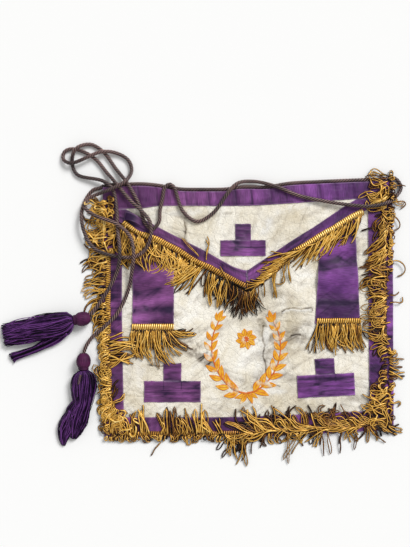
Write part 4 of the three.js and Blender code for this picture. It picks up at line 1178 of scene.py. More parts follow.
def map_places():
    x = MAP_CORNER[0] + np.arange(MAP_SIZE[0])[:, None] + 0.0
    y = MAP_CORNER[1] + np.arange(MAP_SIZE[1])[None, :] + 0.0
    return np.broadcast_arrays(x, y)


def widest(values):
    """Each value raised to the greatest of its four neighbours."""
    out = values.copy()
    out[1:] = np.maximum(out[1:], values[:-1])
    out[:-1] = np.maximum(out[:-1], values[1:])
    out[:, 1:] = np.maximum(out[:, 1:], values[:, :-1])
    out[:, :-1] = np.maximum(out[:, :-1], values[:, 1:])
    return out


def read_map(values, x, y):
    i = np.clip(np.round(x - MAP_CORNER[0]).astype(int), 0, MAP_SIZE[0] - 1)
    j = np.clip(np.round(y - MAP_CORNER[1]).astype(int), 0, MAP_SIZE[1] - 1)
    return values[i, j]


def cord_maps(lines):
    """The lowest under side and the highest upper side of any cord within reach of each place."""
    under = np.full(MAP_SIZE, NO_CORD)
    over = np.zeros(MAP_SIZE)
    reach = CORD_MAP_REACH
    for line in lines:
        i = np.round(line[:, 0] - MAP_CORNER[0]).astype(int)
        j = np.round(line[:, 1] - MAP_CORNER[1]).astype(int)
        for di in range(-reach, reach + 1):
            for dj in range(-reach, reach + 1):
                if math.hypot(di, dj) <= reach:
                    np.minimum.at(under, (i + di, j + dj), line[:, 2] - CORD_RADIUS)
                    np.maximum.at(over, (i + di, j + dj), line[:, 2] + CORD_RADIUS)
    return under, over


class Lay:
    """What the strands lie on and run under: the layers' height map and the cords' maps."""

    def __init__(self, lines):
        x, y = map_places()
        self.ground = widest(widest(layer_top(x, y)))
        self.under, self.over = cord_maps(lines)

    def heights(self, x, y, stack, spacing):
        """Heights of strand points: over the layers by the stack, and under a high cord or over a low one.

        Then no point is left more than a gentle slope below its neighbours.
        """
        ground = read_map(self.ground, x, y)
        under = read_map(self.under, x, y)
        over = read_map(self.over, x, y)
        rest = STRAND + 0.1
        z = ground + rest + stack
        crossed = under < NO_CORD
        fits = under - ground > ROOM_UNDER
        z = np.where(crossed & fits, np.minimum(z, under - rest), z)
        z = np.where(crossed & ~fits, np.maximum(z, over + rest), z)
        fall = 0.7 * spacing
        for _ in range(6):
            z[:, 1:] = np.maximum(z[:, 1:], z[:, :-1] - fall)
            z[:, :-1] = np.maximum(z[:, :-1], z[:, 1:] - fall)
        z[:, 1:-1] = (z[:, :-2] + 2 * z[:, 1:-1] + z[:, 2:]) / 4
        return np.where(crossed & fits, np.minimum(z, under - rest), z)


def strand_lines(lay, root, rows, stack, steps, seed):
    """Middle lines of strands from their roots.

    Each direction is lean + bend t + hook smooth(2.2 t - 1.1), and curl^1.5 times a sine of t.
    """
    lean, bend, hook, reach, curl = [column[:, None] for column in rows[:5]]
    rng = np.random.default_rng(seed)
    t = np.linspace(0, 1, steps)[None, :]
    phase = rng.random((len(lean), 1))
    beat = rng.uniform(0.5, 1.3, (len(lean), 1))
    swing = np.sin(2 * np.pi * (beat * t + phase)) - np.sin(2 * np.pi * phase)
    angle = np.radians(lean + bend * t + hook * smooth(2.2 * t - 1.1)) + curl**1.5 * swing
    spacing = reach / (steps - 1)
    x = root[0][:, None] + np.cumsum(spacing * np.cos(angle), axis=1)
    y = root[1][:, None] + np.cumsum(spacing * np.sin(angle), axis=1)
    hump = 0.25 + 0.75 * np.sin(np.pi * np.clip(t * 1.1, 0, 1))
    return x, y, lay.heights(x, y, stack[:, None] * hump, spacing), angle


def tarnished_and_shaded_tubes(paths, radius, age, reach):
    """Round tubes on the paths, with painted shade on their sides and under side and a painted highlight on
    their crown.

    The UV goes round a tube in u and along it in v, in millimetres, for the twist of the thread.
    """
    rings = paths.shape[1]
    sides = len(SIDE_SHADE)
    points, faces = tubes(paths, radius, sides)
    along = np.linspace(-0.5, 0.5, rings)
    tube_tarnish_and_shade = age[:, None] + 0.15 * along
    tube_tarnish_and_shade = np.clip(tube_tarnish_and_shade[..., None] + SIDE_SHADE, 0, 1)
    u = np.broadcast_to(np.arange(sides) / sides, tube_tarnish_and_shade.shape)
    v = np.broadcast_to((reach[:, None] * (along + 0.5))[..., None], tube_tarnish_and_shade.shape)
    return points, faces, tube_tarnish_and_shade.ravel(), np.stack([u.ravel(), v.ravel()], axis=1)


def strand_meshes(lay, root, rows, stack, deep_shade, seed, thread):
    """Strands from their roots: closed ones are one twisted tube, open ones a loop of thinner thread.

    rows are lean, bend, hook, reach, curl, gap and tarnish, to which deep_shade adds painted shade. A loop's
    two sides stand gap sqrt(4 t (1 - t)) (0.35 + 0.65 t) from its middle line and meet at the tip.
    """
    parts = []
    for looped, steps in ((False, STRAND_STEPS), (True, LOOP_STEPS)):
        own = (rows[5] > 0) == looped
        if not own.any():
            continue
        some = [row[own] for row in rows]
        reach, gap = some[3], some[5]
        age = some[6] + deep_shade[own]
        x, y, z, angle = strand_lines(lay, (root[0][own], root[1][own]), some, stack[own], steps, seed)
        middle = np.stack([x, y, np.maximum(z, thread + 0.05)], axis=-1)
        t = np.linspace(0, 1, steps)[None, :]
        if not looped:
            swell = 1 - 0.35 * np.abs(2 * t - 1) ** 8 + 0.12 * np.sin(9 * t + 40 * age[:, None])
            parts.append(tarnished_and_shaded_tubes(middle, thread * swell, age, reach))
            continue
        half = gap[:, None] * np.sqrt(np.clip(4 * t * (1 - t), 0, 1)) * (0.35 + 0.65 * t)
        level = np.zeros_like(half)
        offset = np.stack([-np.sin(angle) * half, np.cos(angle) * half, level], axis=-1)
        paths = np.concatenate([middle + offset, (middle - offset)[:, -2::-1]], axis=1)
        parts.append(tarnished_and_shaded_tubes(paths, LOOP_THREAD / STRAND * thread, age, 2 * reach))
    return join_meshes(parts)


def header_braid(lay, x, y, width, age, sunk):
    """The sewn head of a fringe: a rounded strip along a line, with a rib of thread at every loop.

    Its height over the layers is 0.5 + 1.7 sqrt(1 - c^2) (0.45 + 0.55 |sin(pi (s + 0.9 c) / pitch)|), where c
    goes from -1 to 1 across. Where noise along it is low, the head is lower by up to the sunk share.
    """
    step = np.hypot(np.diff(x), np.diff(y))
    s = np.concatenate([[0], np.cumsum(step)])
    at = np.linspace(0, s[-1], int(s[-1] / HEADER_STEP))
    x = np.interp(at, s, x)
    y = np.interp(at, s, y)
    tangent = np.stack([np.gradient(x), np.gradient(y)])
    tangent /= np.hypot(*tangent)
    c = np.linspace(-1, 1, 7)[None, :]
    wobble = 0.4 * (noise(at, 0, 9, 201)[:, None] - 0.5)
    gx = x[:, None] - tangent[1][:, None] * (c * width / 2 + wobble)
    gy = y[:, None] + tangent[0][:, None] * (c * width / 2 + wobble)
    ground = read_map(lay.ground, gx, gy)
    rib = np.abs(np.sin(np.pi * (at[:, None] + 0.9 * c) / HEADER_PITCH))
    shown = 1 - sunk * (1 - smooth(4 * noise(at, 0, 26, 211)[:, None] - 1.6))
    high = ground + 0.3 + (0.2 + 1.7 * np.sqrt(np.clip(1 - c**2, 0.03, 1)) * (0.45 + 0.55 * rib)) * shown
    points, faces = closed_sheet(gx, gy, ground + 0.05 + 0 * high, high)
    # Painted shade between the ribs and towards both edges, on the tarnish given at its ends
    braid_tarnish_and_shade = np.interp(at, [0, at[-1]], age)[:, None] + 0.8 * (1 - rib) ** 1.4 + 0.12 * c**2 - 0.12
    braid_tarnish_and_shade = both_sides(np.clip(braid_tarnish_and_shade, 0, 1))
    return points, faces, braid_tarnish_and_shade, np.zeros((len(braid_tarnish_and_shade), 2))


def join_meshes(parts):
    """One mesh from several: points, attributes and UVs one after another, and the faces renumbered."""
    points = np.concatenate([part[0] for part in parts])
    faces = []
    start = 0
    for part in parts:
        faces += [f + start for f in part[1]]
        start += len(part[0])
    values = [np.concatenate([part[k] for part in parts]) for k in range(2, len(parts[0]))]
    return points, faces, *values


def fringe_layer(lay, root_at, table, pitch, seed, heaviest, thread=STRAND, shade=0.0, scatter=0.9):
    """Strands along a seam, as its table of fringe rows says.

    Neighbours lean, bend and reach alike, in bunches about 9 mm wide, and every strand differs a little. The
    strands on top get painted light, and those that lie deep get painted shade. Their roots lie within
    scatter of the seam. A shaded layer is the one that a full fringe has below: darker with painted shade,
    shorter and with fewer strands kept.
    """
    rng = np.random.default_rng(seed + int(100 * shade))
    table = np.array(table, float)
    table = table[np.argsort(table[:, 0])]
    places = np.arange(table[0, 0], table[-1, 0], pitch)
    places = places + rng.uniform(-0.4, 0.4, len(places)) * pitch
    columns = [np.interp(places, table[:, 0], column) for column in table.T[1:]]
    lean, bend, hook, reach, spread, curl, loops, age, keep = columns
    count = len(places)
    kept = noise(places, 0, 11, seed + 1) * 0.6 + 0.4 * rng.random(count) < keep - 0.35 * shade + 0.001
    bunch = 2 * noise(places, 7, 8, seed + 2) - 1
    lean = lean + spread * bunch + rng.normal(0, 1, count) * (2 + 0.3 * spread)
    drift = 1.4 * spread * (2 * noise(places, 9, 10, seed + 5) - 1)
    bend = bend + drift + rng.normal(0, 6 + 0.4 * spread, count)
    hook = hook * rng.uniform(0.7, 1.2, count)
    drawn_out = 0.84 + 0.3 * noise(places, 5, 7, seed + 6)
    reach = reach * rng.uniform(0.86, 1.1, count) * drawn_out * (1 - 0.45 * shade)
    curl = curl * rng.uniform(0.5, 1.2, count)
    open_loop = rng.random(count) < loops
    gap = np.where(open_loop, rng.uniform(1.5, 3.8, count), 0.0)
    level = rng.random(count)
    # The shaded layer's painted shade is added to the strands' tarnish
    age = age + shade + rng.normal(0, 0.1, count) + 0.45 * (noise(places, 3, 14, seed + 4) - 0.45)
    x, y = root_at(places)
    x = x + scatter * rng.uniform(-1.6, 1.6, count)
    y = y + scatter * rng.uniform(-1.6, 1.6, count)
    rows = [column[kept] for column in (lean, bend, hook, reach, curl, gap, age)]
    # Painted shade on strands low in the pile, painted light on the top ones
    deep_shade = DEEP_SHADE * (0.42 - level[kept])
    stack = heaviest * level[kept] ** 1.2
    return strand_meshes(lay, (x[kept], y[kept]), rows, stack, deep_shade, seed + 3, thread)


def fringe_mass(lay, root_at, table, pitch, seed, heaviest=3.4, thread=STRAND):
    """A full fringe: strands close to the cloth painted dark as shade, then bright ones over them in the same
    bunches.
    """
    return [
        fringe_layer(lay, root_at, table, 1.1 * pitch, seed, 1.0, thread, 0.8),
        fringe_layer(lay, root_at, table, pitch, seed, heaviest, thread),
    ]


def gold_thread_material():
    # Gold-wire looped fringe, tarnished: yellow metal thread with painted highlights on the crowns, brown
    # where it is worn, and painted shade on the sides and where it lies deep
    material, tree, surface = new_material("gold_wire_thread_tarnished_and_shaded")
    place = add(tree, "ShaderNodeTexCoord")
    age = add(tree, "ShaderNodeAttribute", attribute_name="age")
    mottle = add(tree, "ShaderNodeTexNoise", {"Vector": (place, "Object"), "Scale": 240.0, "Detail": 2.0})
    worn = add(tree, "ShaderNodeMath", {0: (mottle, "Fac"), 1: 0.4, 2: -0.2}, operation="MULTIPLY_ADD")
    # The twist of the thread, 1.2 mm a turn, drawn at 2.4 mm so that it shows
    turned = add(tree, "ShaderNodeMapping", {"Vector": (place, "UV"), "Scale": (1.26, 0.26, 1.0)})
    twist = add(
        tree, "ShaderNodeTexWave", {"Vector": (turned, "Vector"), "Scale": 1.0},
        wave_type="BANDS", bands_direction="DIAGONAL",
    )
    # Painted shade in the grooves of the twist
    groove = add(tree, "ShaderNodeMath", {0: (twist, "Fac"), 1: -0.22, 2: 0.1}, operation="MULTIPLY_ADD")
    mottled = add(tree, "ShaderNodeMath", {0: (age, "Fac"), 1: (worn, "Value")}, operation="ADD")
    total = add(tree, "ShaderNodeMath", {0: (mottled, "Value"), 1: (groove, "Value")}, operation="ADD")
    colour = add(
        tree, "ShaderNodeValToRGB", {"Fac": (total, "Value")},
        stops=[(0.0, "#FFEBA6"), (0.2, "#F4BE48"), (0.42, "#AC6F22"), (0.62, "#4E2A0D"), (1.0, "#150A05")],
    )
    relief_bump = add(tree, "ShaderNodeBump", {"Height": (twist, "Fac"), "Strength": 0.6, "Distance": 0.0004})
    # Wire wound round the thread, 0.3 mm apart
    fine = add(tree, "ShaderNodeTexNoise", {"Vector": (place, "Object"), "Scale": 1500.0, "Detail": 1.0})
    bump = add(
        tree, "ShaderNodeBump",
        {"Height": (fine, "Fac"), "Strength": 0.3, "Distance": 0.0003, "Normal": (relief_bump, "Normal")},
    )
    tree.links.new(colour.outputs["Color"], surface.inputs["Base Color"])
    tree.links.new(bump.outputs["Normal"], surface.inputs["Normal"])
    surface.inputs["Metallic"].default_value = 0.3
    surface.inputs["Roughness"].default_value = 0.38
    return material


# Fringe rows: place along the seam, lean in degrees from +x, bend, hook, reach, spread, curl, share of open
# loops, age and share kept
BOTTOM_MASS = [
    (-196, 90, 0, 200, 28, 30, 0.35, 0.5, 0.3, 1), (-185, 70, 0, -240, 34, 40, 0.35, 0.5, 0.28, 1),
    (-172, 110, 0, 160, 34, 30, 0.35, 0.5, 0.28, 1), (-158, 100, 0, 0, 28, 12, 0.3, 0.2, 0.25, 1),
    (-149, 93, 5, 0, 36, 8, 0.25, 0.2, 0.25, 1), (-139, 100, 0, 0, 33, 10, 0.25, 0.2, 0.25, 1),
    (-134, 100, 20, 60, 17, 20, 0.4, 0.5, 0.3, 0.6), (-122, 90, 0, 60, 18, 20, 0.4, 0.5, 0.3, 0.5),
    (-115, 95, 12, 0, 36, 8, 0.25, 0.2, 0.25, 1), (-98, 106, -8, 0, 40, 10, 0.25, 0.2, 0.25, 1),
    (-92, 95, 0, 60, 17, 20, 0.4, 0.5, 0.3, 0.5), (-84, 95, 20, 30, 22, 20, 0.35, 0.4, 0.3, 0.6),
    (-78, 102, 0, 0, 38, 10, 0.25, 0.2, 0.25, 1), (-60, 80, 15, 0, 35, 12, 0.25, 0.2, 0.3, 1),
    (-52, 95, 20, 40, 22, 20, 0.4, 0.4, 0.4, 0.6), (-42, 125, -40, 0, 28, 15, 0.4, 0.3, 0.45, 0.6),
    (-31, 120, 0, 0, 22, 25, 0.4, 0.3, 0.5, 0.8), (-26, 300, -30, 0, 28, 20, 0.4, 0.3, 0.6, 1),
    (-15, 278, 0, 30, 40, 20, 0.4, 0.3, 0.66, 1), (-2, 262, -10, 0, 38, 22, 0.4, 0.3, 0.66, 1),
    (6, 182, -30, 0, 30, 20, 0.5, 0.3, 0.5, 1), (14, 166, -30, 60, 44, 24, 0.55, 0.4, 0.5, 1),
    (30, 154, -20, -60, 50, 24, 0.6, 0.4, 0.45, 1), (58, 156, -30, 50, 50, 26, 0.6, 0.4, 0.58, 1),
    (84, 168, -20, -60, 44, 26, 0.6, 0.4, 0.6, 1), (112, 178, -34, 50, 40, 22, 0.55, 0.4, 0.6, 1),
    (140, 184, -34, 0, 34, 20, 0.5, 0.4, 0.5, 1), (158, 180, -30, 60, 30, 24, 0.5, 0.4, 0.52, 1),
    (170, 150, -30, 120, 28, 30, 0.4, 0.5, 0.5, 1), (185, 130, 0, 240, 36, 35, 0.35, 0.5, 0.5, 1),
    (202, 110, 20, -240, 34, 40, 0.35, 0.5, 0.48, 1),
]
BOTTOM_FILL = [
    (4, 165, -10, 60, 30, 34, 0.6, 0.5, 0.4, 1), (60, 150, -20, 120, 36, 40, 0.7, 0.6, 0.52, 1),
    (116, 165, -10, -120, 32, 36, 0.7, 0.6, 0.58, 1), (170, 160, 0, 120, 28, 40, 0.6, 0.5, 0.45, 1),
]
BOTTOM_HANGING = [
    (-196, -90, 0, 90, 9, 35, 0.5, 0.6, 0.35, 1), (-150, -80, 0, 60, 10, 40, 0.5, 0.6, 0.28, 0.9),
    (-100, -95, 0, -80, 11, 40, 0.5, 0.6, 0.32, 0.9), (-40, -90, 0, 90, 13, 35, 0.5, 0.6, 0.45, 0.8),
    (10, -110, 0, 60, 14, 30, 0.5, 0.5, 0.6, 0.8), (60, -105, 20, 0, 20, 35, 0.4, 0.4, 0.6, 0.45),
    (120, -95, 10, 0, 24, 30, 0.35, 0.3, 0.6, 0.45), (160, -75, -30, 0, 24, 25, 0.35, 0.3, 0.5, 0.6),
    (185, -40, 0, 0, 26, 20, 0.3, 0.3, 0.5, 0.9), (200, -35, 10, 0, 22, 25, 0.35, 0.3, 0.5, 0.9),
]
RIGHT_MASS = [
    (186, 170, 20, 240, 30, 45, 0.35, 0.5, 0.44, 1), (176, 190, 0, -260, 38, 45, 0.35, 0.5, 0.44, 1),
    (165, 200, 0, 260, 38, 40, 0.35, 0.5, 0.44, 1), (150, 200, 0, -220, 36, 35, 0.35, 0.5, 0.44, 1),
    (135, 215, 0, 60, 32, 25, 0.45, 0.6, 0.5, 1), (118, 235, -10, 0, 36, 14, 0.35, 0.6, 0.48, 1),
    (95, 232, -10, 0, 36, 12, 0.3, 0.5, 0.48, 1), (75, 218, -10, 0, 34, 14, 0.3, 0.5, 0.5, 1),
    (60, 196, 0, 0, 33, 14, 0.35, 0.7, 0.52, 1), (50, 182, 0, 100, 40, 14, 0.35, 0.6, 0.52, 1),
    (38, 178, 10, 160, 40, 14, 0.35, 0.6, 0.52, 1), (26, 184, 0, -180, 30, 16, 0.4, 0.65, 0.52, 1),
    (10, 188, 0, 170, 29, 16, 0.4, 0.65, 0.55, 1), (-4, 190, 0, 120, 33, 16, 0.4, 0.65, 0.55, 1),
    (-20, 194, 0, -120, 32, 14, 0.35, 0.6, 0.6, 1), (-46, 200, 0, 40, 29, 15, 0.35, 0.6, 0.6, 1),
    (-56, 200, 0, 60, 18, 18, 0.4, 0.5, 0.65, 0.8), (-62, 190, 0, 60, 12, 16, 0.4, 0.5, 0.65, 0.6),
    (-82, 185, 0, 60, 12, 16, 0.4, 0.5, 0.65, 0.6), (-104, 190, 0, 60, 14, 20, 0.5, 0.5, 0.65, 0.7),
    (-112, 180, -20, 60, 28, 30, 0.4, 0.6, 0.44, 1), (-125, 195, 0, -220, 34, 35, 0.35, 0.5, 0.42, 1),
    (-155, 170, 0, 240, 36, 40, 0.35, 0.5, 0.42, 1),
]
RIGHT_OUTWARD = [
    (188, 30, 40, 60, 9, 40, 0.5, 0.5, 0.45, 0.9), (178, 0, 0, 160, 8, 50, 0.4, 0.5, 0.45, 1),
    (160, -25, 20, -60, 12, 40, 0.4, 0.4, 0.4, 0.9), (125, -35, 40, 60, 9, 40, 0.4, 0.4, 0.4, 0.9),
    (100, -20, 0, 140, 8, 40, 0.4, 0.5, 0.4, 0.9), (60, -20, 0, 140, 8, 40, 0.4, 0.5, 0.4, 0.8),
    (48, -20, 0, 140, 6, 30, 0.5, 0.6, 0.5, 0.3), (-40, -10, 0, 60, 8, 30, 0.5, 0.5, 0.5, 0.3),
    (-60, -10, 0, 60, 10, 40, 0.5, 0.5, 0.5, 0.8), (-76, -5, 0, 0, 14, 20, 0.4, 0.3, 0.45, 0.9),
    (-80, -6, 0, 0, 26, 14, 0.3, 0.2, 0.4, 1), (-92, -14, 20, 0, 25, 16, 0.3, 0.2, 0.4, 1),
    (-98, -20, 0, 60, 12, 40, 0.5, 0.4, 0.5, 0.8), (-120, -20, 0, 60, 8, 30, 0.5, 0.5, 0.5, 0.5),
    (-150, -20, 0, 60, 8, 30, 0.5, 0.5, 0.5, 0.4),
]
# Curls that lie over a seam's roots, with no common direction
LEFT_CURLS = [
    (64, 200, 0, 120, 20, 90, 0.3, 0.4, 0.2, 0.8), (80, 190, 0, 290, 28, 120, 0.3, 0.4, 0.02, 1),
    (110, 180, 0, 310, 32, 140, 0.3, 0.4, -0.05, 1), (136, 190, 0, -300, 30, 140, 0.3, 0.4, -0.05, 1),
    (150, 150, 0, 240, 15, 50, 0.3, 0.4, 0.1, 1),
]
RIGHT_CURLS = [
    (-60, 190, 0, 100, 18, 50, 0.4, 0.8, 0.4, 0.5), (-10, 185, 0, -240, 24, 60, 0.4, 0.8, 0.4, 0.6),
    (30, 180, 0, 240, 24, 60, 0.4, 0.8, 0.4, 0.6), (60, 195, 0, -200, 22, 60, 0.4, 0.6, 0.4, 0.7),
    (100, 230, 0, 120, 24, 50, 0.3, 0.4, 0.4, 0.8), (126, 230, 0, 240, 26, 90, 0.3, 0.4, 0.38, 0.9),
    (145, 200, 0, 300, 28, 140, 0.3, 0.3, 0.36, 1), (165, 190, 0, -300, 30, 140, 0.3, 0.3, 0.34, 1),
    (182, 180, 0, 280, 26, 140, 0.3, 0.3, 0.38, 1),
]
CORNER_LEFT_CURLS = [
    (-192, 60, 0, 290, 22, 110, 0.3, 0.3, 0.25, 1), (-164, 110, 0, -290, 24, 140, 0.3, 0.3, 0.2, 1),
]
CORNER_RIGHT_CURLS = [
    (-168, 170, 0, 280, 24, 140, 0.3, 0.2, 0.4, 1), (-112, 190, 0, -280, 20, 140, 0.3, 0.2, 0.4, 1),
]
LEFT_MASS = [
    (152, 190, 0, 60, 16, 20, 0.3, 0.4, 0.3, 1), (144, 200, 0, 240, 30, 40, 0.3, 0.5, 0.25, 1),
    (130, 190, 0, -260, 36, 35, 0.3, 0.5, 0.3, 1), (112, 180, 0, 260, 38, 35, 0.3, 0.5, 0.3, 1),
    (95, 190, 0, -240, 36, 35, 0.3, 0.5, 0.35, 1), (80, 185, 0, 200, 34, 30, 0.35, 0.5, 0.4, 1),
    (68, 186, 30, 60, 35, 16, 0.35, 0.35, 0.45, 1), (50, 182, 30, 0, 32, 16, 0.35, 0.35, 0.42, 1),
    (30, 180, 35, 0, 32, 16, 0.35, 0.4, 0.42, 1), (14, 180, 40, 60, 33, 16, 0.35, 0.4, 0.36, 1),
    (3, 178, 60, 40, 28, 14, 0.35, 0.35, 0.32, 1), (-20, 175, 70, 40, 23, 14, 0.35, 0.35, 0.3, 1),
    (-36, 180, 50, 60, 18, 20, 0.35, 0.5, 0.3, 1), (-50, 190, 30, 90, 15, 25, 0.4, 0.5, 0.3, 0.8),
    (-62, 190, 30, 90, 10, 25, 0.4, 0.5, 0.35, 0.7), (-80, 200, 0, 120, 12, 25, 0.4, 0.6, 0.35, 0.7),
    (-98, 185, 55, 0, 13, 14, 0.3, 0.4, 0.3, 1), (-118, 185, 60, 0, 18, 14, 0.3, 0.4, 0.3, 1),
    (-132, 190, 50, 40, 21, 16, 0.35, 0.4, 0.3, 1), (-142, 200, 30, 100, 14, 30, 0.35, 0.5, 0.32, 1),
    (-166, 200, 0, 200, 8, 40, 0.35, 0.5, 0.32, 1),
]
LEFT_OVER_HEADER = [
    (76, 195, 20, 40, 24, 24, 0.35, 0.3, 0.2, 0.8), (40, 186, 30, 0, 20, 20, 0.35, 0.3, 0.25, 0.5),
    (10, 190, 40, 40, 18, 20, 0.35, 0.3, 0.2, 0.3), (-40, 190, 30, 90, 18, 25, 0.4, 0.5, 0.15, 0.7),
    (-80, 200, 0, 120, 20, 30, 0.4, 0.6, 0.15, 0.8), (-150, 190, 40, 0, 22, 24, 0.35, 0.4, 0.15, 0.9),
]
LEFT_INWARD = [
    (158, 20, 0, 90, 8, 40, 0.3, 0.5, 0.3, 1), (132, 10, 0, -110, 11, 40, 0.3, 0.5, 0.3, 1),
    (118, 0, 0, -140, 16, 40, 0.3, 0.5, 0.3, 1), (104, -10, 0, 240, 20, 40, 0.3, 0.5, 0.36, 1),
    (85, -20, 0, 240, 18, 40, 0.3, 0.5, 0.45, 1), (66, -20, 0, 100, 8, 40, 0.4, 0.5, 0.5, 0.5),
    (55, -20, 0, 0, 6, 30, 0.4, 0.4, 0.5, 0.1), (-40, 40, 0, 0, 8, 30, 0.4, 0.4, 0.35, 0.15),
    (-47, 22, -20, 0, 38, 20, 0.4, 0.4, 0.18, 1), (-66, 12, -10, 0, 38, 20, 0.4, 0.4, 0.2, 1),
    (-82, 8, 10, 0, 34, 18, 0.35, 0.4, 0.26, 1), (-90, 50, 0, 0, 12, 25, 0.4, 0.4, 0.35, 0.2),
    (-112, 55, 0, 0, 26, 14, 0.3, 0.2, 0.35, 0.4), (-130, 60, 0, 20, 22, 25, 0.4, 0.3, 0.35, 0.6),
    (-145, 50, 0, 200, 30, 40, 0.35, 0.5, 0.3, 1), (-168, 30, 0, 260, 32, 45, 0.35, 0.5, 0.3, 1),
]
FLAP_LEFT_MASS = [
    (-180, -88, 0, 40, 50, 18, 0.4, 0.2, 0.55, 1), (-170, -90, 0, 60, 58, 18, 0.4, 0.2, 0.6, 1),
    (-158, -94, 0, 60, 56, 16, 0.4, 0.2, 0.5, 1), (-146, -98, 0, 40, 50, 16, 0.35, 0.2, 0.6, 1),
    (-136, -102, 20, 150, 43, 22, 0.5, 0.8, 0.22, 0.9),
    (-115, -98, 20, -170, 43, 24, 0.5, 0.85, 0.12, 0.9), (-97, -90, 0, 170, 38, 24, 0.5, 0.85, 0.18, 0.9),
    (-88, -110, -20, 0, 30, 12, 0.3, 0.3, 0.45, 0.9), (-76, -136, -10, 0, 44, 9, 0.22, 0.3, 0.5, 1),
    (-58, -136, -10, 0, 42, 10, 0.25, 0.3, 0.48, 1), (-48, -116, 0, 0, 42, 14, 0.38, 0.5, 0.22, 1),
    (-34, -106, 0, 20, 40, 12, 0.38, 0.5, 0.14, 1), (-24, -98, 0, 0, 34, 14, 0.35, 0.3, 0.7, 1),
    (-14, -94, 0, 0, 36, 20, 0.45, 0.3, 1.2, 1), (-3, -92, 0, 0, 36, 22, 0.5, 0.3, 1.3, 1),
]
FLAP_LEFT_END = [
    (-178, -84, 0, 40, 40, 22, 0.4, 0.3, 0.42, 1), (-168, -90, 0, 60, 52, 22, 0.4, 0.3, 0.55, 1),
    (-158, -96, 0, -60, 50, 22, 0.4, 0.3, 0.5, 1), (-148, -100, 0, 40, 40, 20, 0.4, 0.3, 0.5, 1),
]
FLAP_LEFT_BUNCH = [
    (-84, -128, -16, -30, 38, 10, 0.3, 0.3, 0.42, 1), (-74, -134, -14, -20, 44, 10, 0.3, 0.3, 0.36, 1),
    (-60, -138, -10, 0, 44, 10, 0.3, 0.3, 0.4, 1),
]
FLAP_RIGHT_MASS = [
    (-2, -92, 0, 0, 36, 22, 0.5, 0.3, 1.3, 1), (9, -106, 0, 0, 28, 20, 0.45, 0.3, 1.1, 1),
    (20, -135, -10, 0, 24, 16, 0.4, 0.3, 0.6, 1), (34, -150, -10, 0, 26, 12, 0.3, 0.2, 0.42, 1),
    (52, -158, -6, 0, 34, 9, 0.25, 0.15, 0.35, 1), (72, -152, -6, 0, 38, 9, 0.2, 0.15, 0.3, 1),
    (84, -136, -10, 0, 38, 10, 0.22, 0.15, 0.32, 1), (98, -124, -12, 0, 38, 12, 0.25, 0.15, 0.3, 1),
    (118, -110, -24, 0, 42, 12, 0.25, 0.15, 0.22, 1), (140, -104, -26, 0, 42, 11, 0.22, 0.15, 0.2, 1),
    (152, -100, -24, 0, 40, 14, 0.3, 0.2, 0.25, 1), (160, -100, -20, 0, 30, 16, 0.35, 0.3, 0.3, 1),
]
FLAP_TIP_HAIR = [
    (-30, -104, 0, 0, 30, 20, 0.5, 0.0, 1.1, 0.5), (-20, -100, 0, 0, 40, 22, 0.5, 0.0, 1.2, 1),
    (-2, -94, 0, 0, 40, 26, 0.5, 0.0, 1.3, 1),
]
FLAP_TIP_HAIR_RIGHT = [
    (-2, -94, 0, 0, 40, 26, 0.5, 0.0, 1.3, 1), (6, -100, 0, 0, 34, 24, 0.5, 0.0, 1.2, 1),
    (14, -112, 0, 0, 22, 22, 0.5, 0.0, 1.1, 0.6),
]
TAB_LEFT_MASS = [
    (-161, -106, 20, 24, 42, 8, 0.3, 0.3, 0.32, 1), (-132, -98, 24, 24, 43, 8, 0.3, 0.3, 0.32, 1),
    (-121, -84, 22, 20, 42, 9, 0.3, 0.3, 0.34, 1), (-112, -62, 26, 10, 37, 10, 0.3, 0.3, 0.38, 1),
    (-107, -38, 50, 0, 32, 12, 0.3, 0.3, 0.42, 1), (-103, -18, 50, 0, 28, 14, 0.3, 0.3, 0.42, 1),
]
TAB_RIGHT_MASS = [
    (97, -104, 2, 20, 36, 8, 0.3, 0.3, 0.36, 1), (110, -89, -20, 40, 37, 9, 0.3, 0.3, 0.36, 1),
    (140, -83, -22, 40, 37, 9, 0.3, 0.3, 0.36, 1), (157, -86, -14, 30, 36, 9, 0.3, 0.3, 0.38, 1),
]

# Where fringes are sewn on: how far in from the left edge, x by height at the right, height over the bottom
# edge by x, y by x on the flap's arms, and y on the tabs
HEADER_LEFT_IN = 9
TAB_SEAMS = {"left": -27.5, "right": -18.5}
HEADER_RIGHT = [(-175, 189), (40, 188), (62, 189), (200, 189)]
BOTTOM_HEADER = [(-200, 4.5), (0, 6), (130, 9), (204, 10)]
FLAP_HEADER_LEFT = [
    (-174, 121), (-159, 110), (-144, 103), (-127, 97), (-111.5, 89), (-95, 80.5), (-75, 67.5),
    (-50.5, 56.5), (-33, 47), (-15, 37.5), (-3, 32),
]
FLAP_HEADER_RIGHT = [
    (-3, 32), (9, 33.5), (23.5, 43), (35, 51.5), (52, 68), (63, 78), (84.5, 91), (100.5, 101.5),
    (122, 113.5), (143.5, 127), (161, 136),
]

